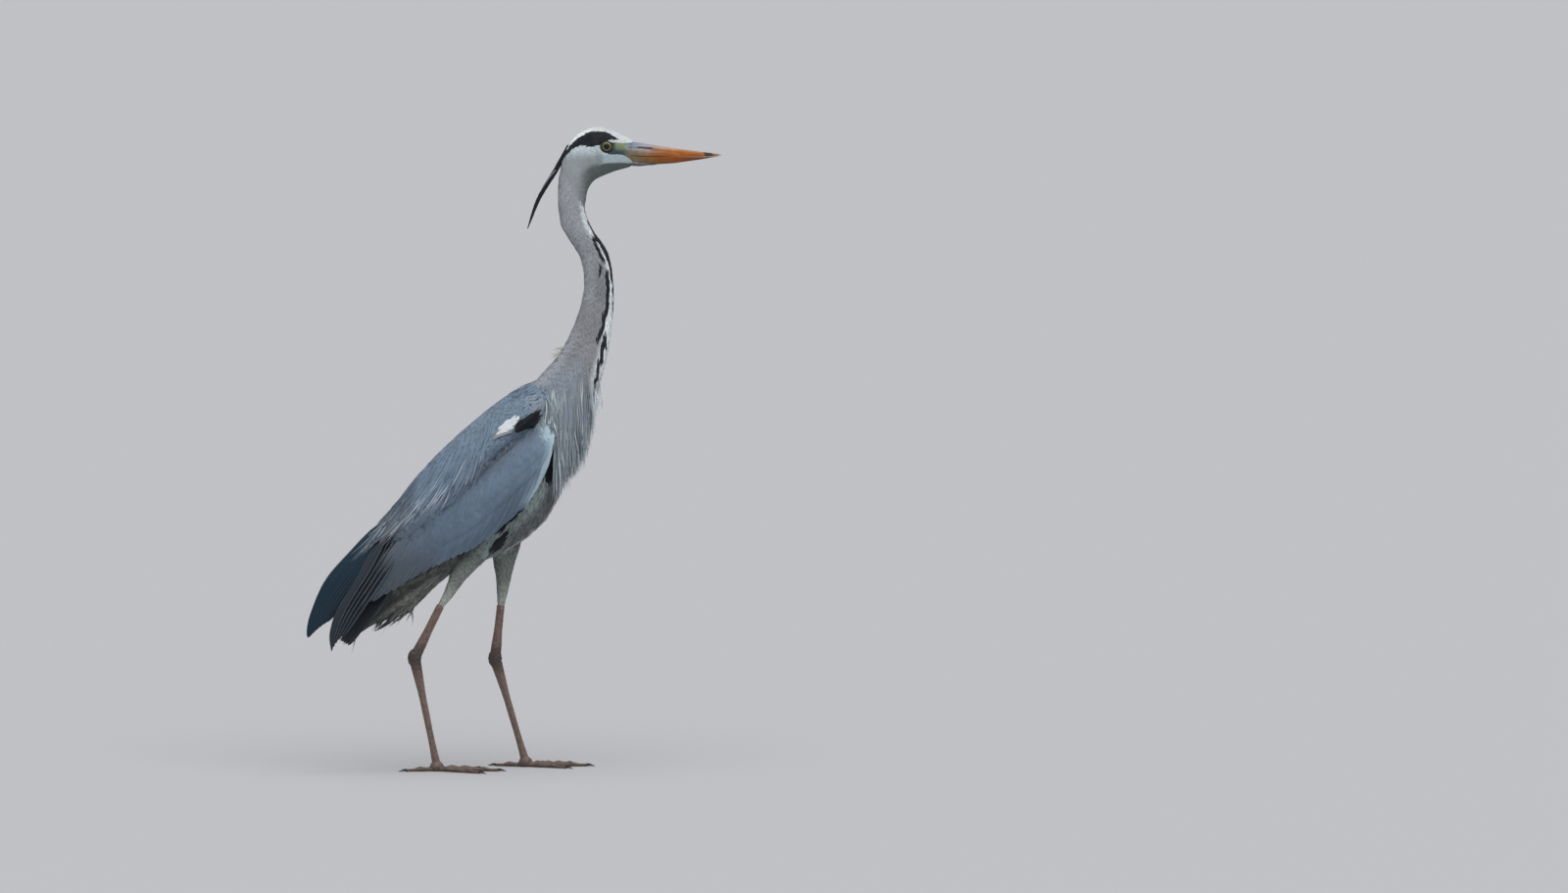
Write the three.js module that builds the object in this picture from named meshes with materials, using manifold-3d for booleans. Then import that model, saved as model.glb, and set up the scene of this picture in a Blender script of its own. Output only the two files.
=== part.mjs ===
// A grey heron standing upright, as a still life-size model: millimetres, +Z up, the bird faces +X.
// The bird's right side is -Y. The frame's origin is on the floor below the middle of its bounding box.
import * as THREE from "three";
import { mergeVertices } from "three/addons/utils/BufferGeometryUtils.js";
import Module from "manifold-3d";

const wasm = await Module();
wasm.setup();

// ---------------------------------------------------------------- driving dimensions

const GAP = 0.3; // clearance between neighbouring solids
const EYE = { x: 190.7, z: 861, y: 8.9, radius: 7.8 };
const PAD_HEIGHT = 7; // centre of the foot pad above the floor
const STANCE = 33; // each foot's distance from the midline

// The body's own outline, from the bill's root to the tail's root. Each station is a slice that runs from
// a point on the back [x, z] to a point on the throat, breast or belly [x, z], with the slice's half width.
const BODY = [
  { at: "bill root", back: [227, 866.5], front: [229, 836], half: 9.5 },
  { at: "lores", back: [211, 878], front: [211, 830], half: 12.2 },
  { at: "eyes", back: [193, 886], front: [192, 823], half: 15.6 },
  { at: "crown", back: [175, 887.5], front: [178, 816.5], half: 18.4 },
  { at: "cheeks", back: [156, 881], front: [169, 808], half: 19 },
  { at: "hind crown", back: [141, 868], front: [164, 798], half: 18.4 },
  { at: "nape", back: [131, 850], front: [162.5, 788], half: 17.6 },
  { at: "throat", back: [126, 828], front: [161.5, 778], half: 16.8 },
  { at: "neck top", back: [123, 801], front: [163, 765], half: 16 },
  { at: "upper bend", back: [127, 750], front: [174, 742], half: 16 },
  { at: "neck kink", back: [153, 709], front: [193, 715], half: 16.4 },
  { at: "mid neck", back: [159, 665], front: [201, 668], half: 17.6 },
  { at: "lower bend", back: [146, 616], front: [198, 608], half: 21 },
  { at: "neck base", back: [120, 568], front: [187, 549], half: 28 },
  { at: "shoulders", back: [77, 527], front: [165, 480], half: 41 },
  { at: "breast", back: [15, 483], front: [140, 412], half: 51 },
  { at: "keel", back: [-50, 419], front: [109, 344], half: 52 },
  { at: "belly", back: [-94, 356], front: [48, 298], half: 42 },
  { at: "vent", back: [-118, 308], front: [-36, 266], half: 26 },
  { at: "tail root", back: [-128, 268], front: [-100, 232], half: 12 },
];
// Where the body is parted, counted in stations.
const CUTS = { head: 6.6, neck_upper: 9.6, neck_middle: 11.7, neck_lower: 13.6 };

// A folded wing's panel, from the wrist to the rear of the secondaries, as slices from its top edge to its
// lower edge. out is how far its outer face stands from the midline, and thick its thickness there.
const WING = [
  { top: [119.5, 467], low: [120.5, 458], out: 50, thick: 3 },
  { top: [110, 485], low: [117, 437], out: 57, thick: 12 },
  { top: [91, 481], low: [104, 407], out: 62, thick: 15 },
  { top: [60, 463], low: [78, 373], out: 65.5, thick: 16 },
  { top: [26, 441], low: [46, 342], out: 66, thick: 16 },
  { top: [-7, 415], low: [10, 313], out: 63, thick: 15 },
  { top: [-40, 386], low: [-30, 293], out: 57, thick: 12 },
  { top: [-73, 353], low: [-70, 273], out: 49, thick: 9 },
  { top: [-102, 317], low: [-106, 252], out: 42, thick: 6 },
  { top: [-118, 287], low: [-136, 233], out: 36, thick: 3 },
];
// Where the panel is parted into coverts and secondaries, counted in slices.
const WING_CUT = 5.1;

// The shoulder feathers of one side: slices from the ridge of the back down over the wing's top edge.
const SCAPULARS = [
  { top: [99, 542], low: [108, 503], out: 46 },
  { top: [62, 525.5], low: [86, 478], out: 56 },
  { top: [27, 499.5], low: [52, 450], out: 63 },
  { top: [-9, 469.5], low: [14, 415], out: 66 },
  { top: [-44, 437], low: [-22, 378], out: 62 },
  { top: [-76, 402], low: [-58, 343], out: 54 },
  { top: [-102, 368], low: [-90, 316], out: 43 },
  { top: [-123, 345], low: [-108, 304], out: 30 },
];

// Legs. The feathered part's slices run from inside the flank to the bare shank: [x, z, half depth].
// The tarsus leans forward from the ankle by lean degrees, as far as the foot.
const LEGS = {
  right: {
    side: -1,
    feathered: [
      [32, 338, 7],
      [22, 320, 20],
      [4, 294, 16.5],
      [-14, 269, 11.6],
      [-27.5, 244, 7.6],
      [-38, 229, 5.2],
    ],
    ankle: [-74, 156.5],
    lean: 11.5,
  },
  left: {
    side: 1,
    feathered: [
      [56, 340, 7],
      [53, 320, 21],
      [49, 292, 17.6],
      [48, 266, 11.8],
      [46, 242, 8.2],
      [44, 224, 5.4],
    ],
    ankle: [36, 150.5],
    lean: 16.3,
  },
};
// Toes: heading in degrees from straight ahead, positive away from the midline, and length without
// the claw.
const TOES = [
  { name: "inner", heading: -27, length: 62, joints: 3, radius: 4.3 },
  { name: "middle", heading: 3, length: 84, joints: 4, radius: 4.6 },
  { name: "outer", heading: 33, length: 70, joints: 4, radius: 4.3 },
  { name: "hind", heading: 168, length: 42, joints: 2, radius: 4.2 },
];
const CLAW_LENGTH = 12;

const COLOURS = {
  white: 0xdfe3e4,
  neck: 0xb9b7b9,
  body: 0x8f9aa3,
  wing: 0x6f8193,
  slate: 0x2c343c,
  black: 0x14171b,
  thigh: 0xc4c8be,
  bill_top: 0xb0653a,
  bill_low: 0xc6803c,
  eye: 0xc9a93a,
  leg: 0x6d5248,
  claw: 0x2b2623,
};

// ---------------------------------------------------------------- shapes

const inPlane = ([x, z], y = 0) => new THREE.Vector3(x, y, z);

// A closed geometry through rings of points. Every ring has the same number of points, and the ends
// are capped.
function loft(rings) {
  const sides = rings[0].length;
  const points = rings.flat();
  const index = [];
  for (let r = 0; r + 1 < rings.length; r++)
    for (let s = 0; s < sides; s++) {
      const a = r * sides + s;
      const b = r * sides + ((s + 1) % sides);
      index.push(a, b, b + sides, a, b + sides, a + sides);
    }
  for (const [r, turn] of [[0, 1], [rings.length - 1, -1]]) {
    const middle = points.length;
    const ring = rings[r];
    points.push(ring.reduce((sum, p) => sum.add(p), new THREE.Vector3()).divideScalar(sides));
    for (let s = 0; s < sides; s++) {
      const pair = [r * sides + s, r * sides + ((s + 1) % sides)];
      index.push(middle, ...(turn > 0 ? pair.reverse() : pair));
    }
  }
  return new THREE.BufferGeometry().setFromPoints(points).setIndex(index);
}

// A three.js geometry as a solid, facing out whichever way it was wound.
function solid(geometry) {
  const bare = geometry.clone();
  bare.deleteAttribute("normal");
  bare.deleteAttribute("uv");
  const merged = mergeVertices(bare, 1e-4);
  const build = () =>
    new wasm.Manifold(
      new wasm.Mesh({
        numProp: 3,
        vertProperties: merged.attributes.position.array,
        triVerts: new Uint32Array(merged.index.array),
      }),
    );
  const made = build();
  if (made.volume() > 0) return made;
  const corners = merged.index.array;
  for (let i = 0; i < corners.length; i += 3)
    [corners[i], corners[i + 1]] = [corners[i + 1], corners[i]];
  return build();
}

// The largest body of a solid, without slivers finer than the tolerance.
function tidy(made, tolerance = 0.15) {
  const bodies = made.simplify(tolerance).decompose();
  return bodies.reduce((best, body) => (body.volume() > best.volume() ? body : best));
}

const join = (solids) => solids.reduce((all, one) => all.add(one));
const cut = (made, ...tools) => tools.reduce((rest, tool) => rest.subtract(tool), made);

// Smooth values between rows of numbers: row(2.5) lies half way between the third and fourth rows.
function between(rows) {
  const places = rows.map((_, i) => i);
  const curve = new THREE.CubicInterpolant(places, rows.flat(), rows[0].length);
  return (place) => Array.from(curve.evaluate(place));
}

const rounded = (value, power) => Math.sign(value) * Math.abs(value) ** power;

// ---------------------------------------------------------------- head, neck and trunk

const bodyAt = between(BODY.map((s) => [...s.back, ...s.front, s.half]));
const BODY_SIDES = 16;
const LAST = BODY.length - 1;

// One slice's ring of points. squareness below 1 fills its corners out a little.
function slice([bx, bz, fx, fz, half], sides, squareness, grow) {
  const back = inPlane([bx, bz]);
  const front = inPlane([fx, fz]);
  const middle = back.clone().lerp(front, 0.5);
  const up = back.clone().sub(front);
  const reach = up.length() / 2 + grow;
  up.normalize();
  return Array.from({ length: sides }, (_, s) => {
    const angle = (2 * Math.PI * s) / sides;
    const point = middle.clone().addScaledVector(up, reach * rounded(Math.cos(angle), squareness));
    point.y = (half + grow) * rounded(Math.sin(angle), squareness);
    return point;
  });
}

function wholeBody(grow = 0) {
  const rings = [];
  for (let place = 0; place <= LAST; place += 0.5)
    rings.push(slice(bodyAt(place), BODY_SIDES, 0.94, grow));
  if (grow) spreadEnds(rings, grow);
  return solid(loft(rings));
}

// Keeps what lies on one side of a slice from top to low: keep is 1 ahead of it or -1 behind it.
// The kept part stops short of the slice by half a gap.
function trim(made, [tx, tz], [lx, lz], keep) {
  const length = Math.hypot(tx - lx, tz - lz);
  const ahead = [((tz - lz) / length) * keep, 0, (-(tx - lx) / length) * keep];
  return made.trimByPlane(ahead, ahead[0] * tx + ahead[2] * tz + GAP / 2);
}

// The stretch of body between two places, counted in stations from the bill.
function bodyLength(from, to) {
  let made = wholeBody();
  for (const [place, keep] of [[from, -1], [to, 1]]) {
    if (place <= 0 || place >= LAST) continue;
    const [bx, bz, fx, fz] = bodyAt(place);
    made = trim(made, [bx, bz], [fx, fz], keep);
  }
  return made;
}

// ---------------------------------------------------------------- wings and shoulder feathers

// A curved shell on one side of the body, from slices that each run from a top to a low point.
// Slices without a thickness are filled in as far as the midline.
function shell(slices, side, { topShare, lowShare, heights = 5 }, grow = 0) {
  const at = between(slices.map((s) => [...s.top, ...s.low, s.out, s.thick ?? s.out]));
  const rings = [];
  for (let i = 0; i < slices.length; i++) {
    const [tx, tz, lx, lz, out, thick] = at(i);
    const outer = [];
    const inner = [];
    for (let h = 0; h <= heights; h++) {
      const s = h / heights;
      const ends = THREE.MathUtils.lerp(topShare, lowShare, s) * out;
      const middle = THREE.MathUtils.lerp(topShare, lowShare, 0.5) * out;
      const bulge = (out - middle) * 4 * s * (1 - s);
      const y = ends + bulge;
      const filled = slices[0].thick === undefined;
      const deep = filled ? y : Math.max(1.2, thick * (0.25 + 0.75 * Math.sin(Math.PI * s)));
      const x = THREE.MathUtils.lerp(tx, lx, s);
      const z = THREE.MathUtils.lerp(tz, lz, s);
      outer.push(new THREE.Vector3(x, side * (y + grow), z));
      inner.push(new THREE.Vector3(x, side * (y - deep - grow), z));
    }
    const ring = [...outer, ...inner.reverse()];
    if (grow) spreadEdges(ring, heights, grow);
    rings.push(ring);
  }
  if (grow) spreadEnds(rings, grow);
  return solid(loft(rings));
}

// Moves the first and last rings of a loft apart by grow, each away from its neighbour.
function spreadEnds(rings, grow) {
  for (const [end, next] of [[0, 1], [rings.length - 1, rings.length - 2]])
    rings[end].forEach((point, s) => {
      const away = point.clone().sub(rings[next][s]).normalize();
      point.addScaledVector(away, grow);
    });
}

// Moves a shell's top and low edges apart by grow, along the slice.
function spreadEdges(ring, heights, grow) {
  const along = ring[0].clone().sub(ring[heights]).setY(0).normalize().multiplyScalar(grow);
  ring[0].add(along);
  ring[ring.length - 1].add(along);
  ring[heights].sub(along);
  ring[heights + 1].sub(along);
}

const wingAt = between(WING.map((s) => [...s.top, ...s.low]));
const WING_SHAPE = { topShare: 0.74, lowShare: 0.86 };
const SCAPULAR_SHAPE = { topShare: 0.03, lowShare: 1.0, heights: 6 };

const wingPanel = (side, grow) => shell(WING, side, WING_SHAPE, grow);
const shoulder = (side, grow) => shell(SCAPULARS, side, SCAPULAR_SHAPE, grow);

// One stiff feather: a strip along a line of points. A high blunt keeps it broad to its rounded tip.
function vane({ line, width, thick = 1.4, across = [0, 0, 1], blunt = 3, grow = 0 }) {
  const path = new THREE.CatmullRomCurve3(line.map((p) => new THREE.Vector3(...p)));
  const rings = [];
  for (const t of [0, 0.35, 0.7, 0.9, 1]) {
    const along = path.getTangent(t);
    const wide = new THREE.Vector3(...across);
    wide.addScaledVector(along, -wide.dot(along)).normalize();
    const flat = along.clone().cross(wide);
    const share = Math.max(0.12, Math.sqrt(Math.min(1, 0.3 + t / 0.2)) * (1 - t ** blunt) ** 0.7);
    const half = (width / 2) * share + grow;
    const deep = thick / 2 + grow;
    const centre = path.getPoint(t);
    rings.push(
      [[1, 1], [-1, 1], [-1, -1], [1, -1]].map(([w, f]) =>
        centre.clone().addScaledVector(wide, w * half).addScaledVector(flat, f * deep),
      ),
    );
  }
  if (grow) spreadEnds(rings, grow);
  return solid(loft(rings));
}

const mirror = (p, side) => [p[0], p[1] * side, p[2]];

const smooth = (line) => new THREE.CatmullRomCurve3(line.map((p) => new THREE.Vector3(...p)));

// A row of overlapping feathers between a first and a last edge line. Each lies over the next by a
// step, and its tip is rounded off by a share of its length. taper shortens the outer feathers.
// facing is 1 or -1: the side the steps and the arch are on.
function fan({ first, last, count, thick, step, rounding = 0.05, taper = 0, arch = 0, facing, grow = 0 }) {
  const edges = [smooth(first), smooth(last)];
  const ring = (t) => {
    const upper = [];
    const lower = [];
    for (let i = 0; i < count; i++)
      for (const [share, lift, back] of [[0.03, step, 1], [0.5, step / 2, 0], [0.97, 0, 1]]) {
        const s = (i + share) / count;
        const place = t * (1 - taper * (2 * s - 1) ** 2) - (t === 1 ? back * rounding : 0);
        const [a, b] = edges.map((edge) => edge.getPoint(place));
        const along = edges[0].getTangent(place).lerp(edges[1].getTangent(place), s);
        const across = b.clone().sub(a);
        const normal = across.clone().cross(along).normalize().multiplyScalar(facing);
        const point = a.lerp(b, s).addScaledVector(normal, arch * 4 * s * (1 - s));
        const edge = (i === 0 && share < 0.1 ? -1 : 0) + (i === count - 1 && share > 0.9 ? 1 : 0);
        point.addScaledVector(across.normalize(), edge * grow);
        upper.push(point.clone().addScaledVector(normal, lift + thick / 2 + grow));
        lower.unshift(point.clone().addScaledVector(normal, -thick / 2 - grow));
      }
    return [...upper, ...lower];
  };
  const rings = [0, 0.3, 0.6, 0.85, 1].map(ring);
  if (grow) spreadEnds(rings, grow);
  return solid(loft(rings));
}

const onSide = (line, side) => line.map((p) => mirror(p, side));

// The wing tip's long feathers, which reach past the panel.
const PRIMARIES = {
  first: [
    [-94, 2, 359],
    [-124, 6, 340],
    [-162, 9, 302],
    [-197, 8, 262],
    [-218, 6, 217],
    [-229, 5, 181],
  ],
  last: [
    [-98, 22, 318],
    [-128, 25, 287],
    [-156, 23, 252],
    [-178, 18, 222],
    [-190, 15, 203],
    [-198, 13, 187],
  ],
};
// The inner wing's pointed feathers, which lie over the folded tip.
const TERTIALS = {
  first: [
    [-97, 22, 350],
    [-122, 25, 326],
    [-150, 28, 277],
    [-180, 26, 227],
    [-193, 24, 190],
    [-192, 22, 161],
  ],
  last: [
    [-97, 38, 296],
    [-119, 41, 262],
    [-142, 38, 226],
    [-160, 35, 200],
    [-170, 32, 185],
    [-174, 31, 178],
  ],
};

function flightFeathers(group, side, grow) {
  const [first, last] = [onSide(group.first, side), onSide(group.last, side)];
  return fan({ first, last, count: 4, thick: 2, step: 1.2, arch: 3, facing: side, grow });
}

const primaries = (side, grow = 0) => flightFeathers(PRIMARIES, side, grow);
const tertials = (side, grow = 0) => flightFeathers(TERTIALS, side, grow);

// The tail: closed, and a little lower at its outer feathers.
function tail(grow = 0) {
  const edge = [[-106, 17, 260], [-134, 23, 224], [-161, 29, 188], [-172, 33, 169]];
  return fan({
    first: edge,
    last: onSide(edge, -1),
    count: 6,
    thick: 2,
    step: 1,
    rounding: 0.03,
    taper: 0.11,
    arch: 7,
    facing: -1,
    grow,
  });
}

// The soft feathers under the tail's root: a tapering mass with loose tips below it.
const UNDERTAIL = [
  { back: [-26, 292], front: [-24, 268], half: 20 },
  { back: [-70, 262], front: [-55, 244], half: 25 },
  { back: [-108, 234], front: [-93, 219], half: 21 },
  { back: [-140, 208], front: [-132, 198], half: 15 },
  { back: [-156, 191], front: [-153, 187], half: 8 },
];
const LOOSE_TIPS = [
  [-111, 6, 202],
  [-91, -9, 213],
  [-66, 8, 238],
];

function undertail(grow = 0) {
  const SIDES = 10;
  const at = between(UNDERTAIL.map((s) => [...s.back, ...s.front, s.half]));
  const rings = [];
  for (let i = 0; i <= (UNDERTAIL.length - 1) * 2; i++)
    rings.push(slice(at(i / 2), SIDES, 1, grow));
  if (grow) spreadEnds(rings, grow);
  const tufts = LOOSE_TIPS.map(([x, y, z]) =>
    vane({
      line: [[x + 44, y * 0.7, z + 40], [x + 22, y * 0.9, z + 17], [x, y, z]],
      width: 15,
      thick: 2.4,
      across: [0.2, 1, 0],
      blunt: 1.6,
      grow,
    }),
  );
  return join([solid(loft(rings)), ...tufts]);
}

// ---------------------------------------------------------------- plumes

// The long loose feathers that hang from the neck's base over one side of the breast. They grow from a
// thin bib over the skin. Their tips step up from the side of the breast to its front.
const BIB_DEPTH = 3.8;

function breastPlumes(side) {
  const COUNT = 7;
  const [[tx, tz, lx, lz], [ux, uz, mx, mz]] = [bodyAt(13), bodyAt(14.45)];
  let bib = trim(wholeBody(BIB_DEPTH), [tx, tz], [lx, lz], -1);
  bib = trim(bib, [ux, uz], [mx, mz], 1);
  bib = trim(bib, [139, 580], [110, 470], 1);
  bib = bib.trimByPlane([0, side, 0], 4);
  const made = [bib];
  for (let i = 0; i < COUNT; i++) {
    const t = i / (COUNT - 1);
    const x = THREE.MathUtils.lerp(171, 132, t);
    const z = 466 - 96 * t ** 1.15 + (i % 2) * 9;
    const rootX = THREE.MathUtils.lerp(176, 124, t);
    made.push(
      vane({
        line: [
          mirror([rootX, THREE.MathUtils.lerp(14, 37.5, t), 508], side),
          mirror([(rootX + x) / 2 + 5, THREE.MathUtils.lerp(14, 42, t), z + 42], side),
          mirror([x, THREE.MathUtils.lerp(9, 38, t), z], side),
        ],
        width: 14,
        thick: 3,
        across: [1, side * THREE.MathUtils.lerp(-1.6, -0.3, t), 0],
        blunt: 1.5,
      }),
    );
  }
  return join(made);
}

// The same feathers on the midline, in front of the breast.
function frontPlumes(grow = 0) {
  const lines = [
    [[184, 0, 562], [187.5, 0, 528], [185, 0, 494]],
    [[184, 0, 542], [182, 0, 505], [173.5, 0, 467]],
  ];
  return join(
    lines.map((line) => vane({ line, width: 11, thick: 5, across: [0, 1, 0], blunt: 2, grow })),
  );
}

// One of the two black plumes that trail from the nape.
function crestPlume(side) {
  const line = new THREE.CatmullRomCurve3([
    new THREE.Vector3(135, side * 4.5, 857),
    new THREE.Vector3(126.5, side * 5, 838),
    new THREE.Vector3(117.5, side * 5, 822),
    new THREE.Vector3(105.5, side * 5, 803),
    new THREE.Vector3(94.5, side * 5, 782),
    new THREE.Vector3(82, side * 4.5, 747.5),
  ]);
  const STEPS = 9;
  const rings = [];
  for (let i = 0; i <= STEPS; i++) {
    const t = i / STEPS;
    const along = line.getTangent(t);
    const up = new THREE.Vector3(0, 1, 0).cross(along);
    const half = 0.5 + 2.1 * Math.sin(Math.PI * Math.min(1, 0.18 + 0.82 * t)) ** 0.8;
    rings.push(
      Array.from({ length: 5 }, (_, s) => {
        const angle = (2 * Math.PI * s) / 5;
        const point = line.getPoint(t).addScaledVector(up, half * Math.cos(angle));
        point.y += Math.max(0.6, half * 0.7) * Math.sin(angle);
        return point;
      }),
    );
  }
  return solid(loft(rings));
}

// ---------------------------------------------------------------- bill and eyes

// Both mandibles by the same rule: slices along x from the mouth's line to the outer ridge.
function mandible(slices, peak) {
  const SIDES = 10;
  const at = between(slices);
  const rings = [];
  const last = slices.length - 1;
  for (let i = 0; i <= last * 2; i++) {
    const [x, mouth, ridge, half] = at(i / 2);
    const ring = [];
    for (let s = 0; s < SIDES; s++) {
      const angle = (Math.PI * s) / (SIDES - 1);
      const height = rounded(Math.sin(angle), peak);
      const y = half * rounded(Math.cos(angle), 0.8);
      ring.push(new THREE.Vector3(x, y, mouth + (ridge - mouth) * height));
    }
    rings.push(ring);
  }
  return solid(loft(rings));
}

// Slices: x, the mouth's line, the ridge and the half width.
const BILL_UPPER = [
  [229.5, 847.8, 866, 9.4],
  [246, 846.8, 863.6, 8],
  [264, 846.7, 860.9, 6.6],
  [283.5, 846.6, 857.6, 5.3],
  [302.5, 846.2, 855.1, 4.1],
  [322, 846, 852.6, 2.9],
  [338, 846.9, 850.6, 1.6],
  [348.3, 847.9, 848.7, 0.6],
];
const BILL_LOWER = [
  [231.5, 847.3, 835.5, 8.8],
  [246, 846.4, 834.4, 7.5],
  [264, 846.3, 835.6, 6.2],
  [283.5, 846.2, 837, 5],
  [302.5, 845.8, 839.6, 3.8],
  [322, 845.6, 842.5, 2.6],
  [337, 846.5, 845.3, 1.3],
  [345, 847.2, 846.6, 0.6],
];

function eye(side, grow = 0) {
  const ball = new THREE.SphereGeometry(EYE.radius + grow, 12, 6);
  ball.rotateX(-Math.PI / 2);
  ball.translate(EYE.x, side * EYE.y, EYE.z);
  return solid(ball);
}

// ---------------------------------------------------------------- legs

// A tapering limb along a smooth line. radii are [sideways, front to back] at even steps of the line.
function limb(points, radii, grow = 0, sides = 8, step = 0.5) {
  const line = new THREE.CatmullRomCurve3(points, false, "centripetal");
  const at = between(radii);
  const last = radii.length - 1;
  const rings = [];
  for (let i = 0; i <= last / step; i++) {
    const place = i * step;
    const [wide, deep] = at(place);
    const along = line.getTangent(place / last);
    const sideways = new THREE.Vector3(0, 1, 0);
    sideways.addScaledVector(along, -sideways.dot(along)).normalize();
    const ahead = sideways.clone().cross(along);
    const centre = line.getPoint(place / last);
    rings.push(
      Array.from({ length: sides }, (_, s) => {
        const angle = (2 * Math.PI * s) / sides;
        return centre
          .clone()
          .addScaledVector(sideways, (wide + grow) * Math.sin(angle))
          .addScaledVector(ahead, (deep + grow) * Math.cos(angle));
      }),
    );
  }
  if (grow) spreadEnds(rings, grow);
  return solid(loft(rings));
}

// The feathered upper leg, from inside the flank to the bare shank.
function thigh({ side, feathered }, grow = 0) {
  const last = feathered.length - 1;
  const points = feathered.map(([x, z], i) => inPlane([x, z], side * (STANCE - 14 * (1 - i / last))));
  return limb(points, feathered.map(([, , deep], i) => [deep * (0.7 + 0.04 * i), deep]), grow, 12);
}

// The bare shank with the ankle's knob at its lower end.
function shank({ side, feathered, ankle }, grow = 0) {
  const top = inPlane(feathered.at(-1), side * STANCE);
  const low = inPlane(ankle, side * STANCE);
  const bone = limb(
    [top, top.clone().lerp(low, 0.5), low],
    [[4.7, 5.5], [4.8, 5.7], [4.9, 5.8], [5.6, 7], [6, 8]],
    grow,
  );
  const knob = new THREE.SphereGeometry(1, 8, 6).rotateX(Math.PI / 2);
  knob.scale(9.8 + grow, 7 + grow, 13.5 + grow).translate(low.x, low.y, low.z);
  return join([bone, solid(knob)]);
}

function tarsusFoot({ side, ankle, lean }) {
  const ahead = (ankle[1] - PAD_HEIGHT) * Math.tan(THREE.MathUtils.degToRad(lean));
  return new THREE.Vector3(ankle[0] + ahead, side * STANCE, PAD_HEIGHT);
}

function tarsus(leg) {
  const top = inPlane(leg.ankle, leg.side * STANCE);
  const low = tarsusFoot(leg);
  return limb(
    [top, top.clone().lerp(low, 0.5), low],
    [[6.6, 8.6], [5.2, 6.4], [4.1, 4.8], [4, 4.6], [4.1, 4.7], [5.2, 6]],
  );
}

// Flattens what would lie below the floor, so that it rests on a small flat.
function onFloor(geometry) {
  const place = geometry.attributes.position;
  for (let i = 0; i < place.count; i++) if (place.getZ(i) < 0) place.setZ(i, 0);
  return geometry;
}

function pad(leg, grow = 0) {
  const foot = tarsusFoot(leg);
  const ball = new THREE.SphereGeometry(1, 10, 6).rotateX(Math.PI / 2);
  ball.scale(9.5 + grow, 8.5 + grow, 8 + grow).translate(foot.x, foot.y, foot.z - 0.6);
  return solid(grow ? ball : onFloor(ball));
}

// A toe is a row of phalanges with swollen joints. Its claw is a curved cone from the last one.
function toe(leg, shape, part, grow = 0) {
  const foot = tarsusFoot(leg);
  const heading = THREE.MathUtils.degToRad(shape.heading) * leg.side;
  const ahead = new THREE.Vector3(Math.cos(heading), Math.sin(heading), 0);
  const sideways = new THREE.Vector3(-ahead.y, ahead.x, 0);
  const up = new THREE.Vector3(0, 0, 1);
  const rings = [];
  const ring = (distance, height, wide, tall, sides) =>
    Array.from({ length: sides }, (_, s) => {
      const angle = (2 * Math.PI * s) / sides;
      return foot
        .clone()
        .setZ(height)
        .addScaledVector(ahead, distance)
        .addScaledVector(sideways, wide * Math.cos(angle))
        .addScaledVector(up, tall * Math.sin(angle));
    });
  if (part === "toe") {
    const STEPS = shape.joints * 2;
    for (let i = 0; i <= STEPS; i++) {
      const t = i / STEPS;
      const swell = 1 + 0.2 * Math.cos(2 * Math.PI * shape.joints * t);
      const radius = shape.radius * (1 - 0.38 * t) * swell * (i === STEPS ? 0.72 : 1);
      const out = 4 + (shape.length - 4) * t;
      rings.push(ring(out, radius * 0.82, radius + grow, radius + grow, 6));
    }
    return solid(grow ? loft(rings) : onFloor(loft(rings)));
  }
  const STEPS = 3;
  for (let i = 0; i <= STEPS; i++) {
    const t = i / STEPS;
    const radius = shape.radius * 0.42 * (1 - t) ** 0.8 + 0.3;
    const height = 2.4 + 1.4 * Math.sin(Math.PI * t) * (1 - t) - 1.9 * t;
    rings.push(ring(shape.length + GAP + CLAW_LENGTH * t, height, radius * 0.8, radius * 1.1, 5));
  }
  return solid(onFloor(loft(rings)));
}

// ---------------------------------------------------------------- the bird

const heron = new THREE.Group();

function add(name, made, colour, roughness = 0.8) {
  const { vertProperties, triVerts, numProp, numVert } = tidy(made).getMesh();
  const places = new Float32Array(numVert * 3);
  for (let i = 0; i < numVert; i++)
    places.set(vertProperties.subarray(i * numProp, i * numProp + 3), i * 3);
  const geometry = new THREE.BufferGeometry();
  geometry.setAttribute("position", new THREE.BufferAttribute(places, 3));
  geometry.setIndex(new THREE.BufferAttribute(triVerts, 1));
  geometry.computeVertexNormals();
  const material = new THREE.MeshStandardMaterial({ color: colour, roughness, metalness: 0 });
  const mesh = new THREE.Mesh(geometry, material);
  mesh.name = name;
  heron.add(mesh);
}

const SIDES = { right: -1, left: 1 };
const bodyCut = wholeBody(GAP);

function addHeadAndNeck() {
  const head = bodyLength(0, CUTS.head);
  add("head", cut(head, eye(-1, GAP), eye(1, GAP)), COLOURS.white);
  add("bill_upper", mandible(BILL_UPPER, 0.85), COLOURS.bill_top, 0.4);
  add("bill_lower", mandible(BILL_LOWER, 0.8), COLOURS.bill_low, 0.4);
  add("neck_upper", bodyLength(CUTS.head, CUTS.neck_upper), COLOURS.neck);
  add("neck_middle", bodyLength(CUTS.neck_upper, CUTS.neck_middle), COLOURS.neck);
  add("neck_lower", bodyLength(CUTS.neck_middle, CUTS.neck_lower), COLOURS.neck);
  for (const [name, side] of Object.entries(SIDES)) {
    add(`eye_${name}`, eye(side), COLOURS.eye, 0.1);
    add(`crest_plume_${name}`, cut(crestPlume(side), bodyCut), COLOURS.black);
  }
}

function addTrunkAndTail() {
  add("trunk", bodyLength(CUTS.neck_lower, LAST), COLOURS.body);
  add("tail", cut(tail(), bodyCut), COLOURS.slate);
  const thighs = Object.values(LEGS).map((leg) => thigh(leg, GAP));
  add("undertail_coverts", cut(undertail(), bodyCut, tail(GAP), ...thighs), COLOURS.white);
}

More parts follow.
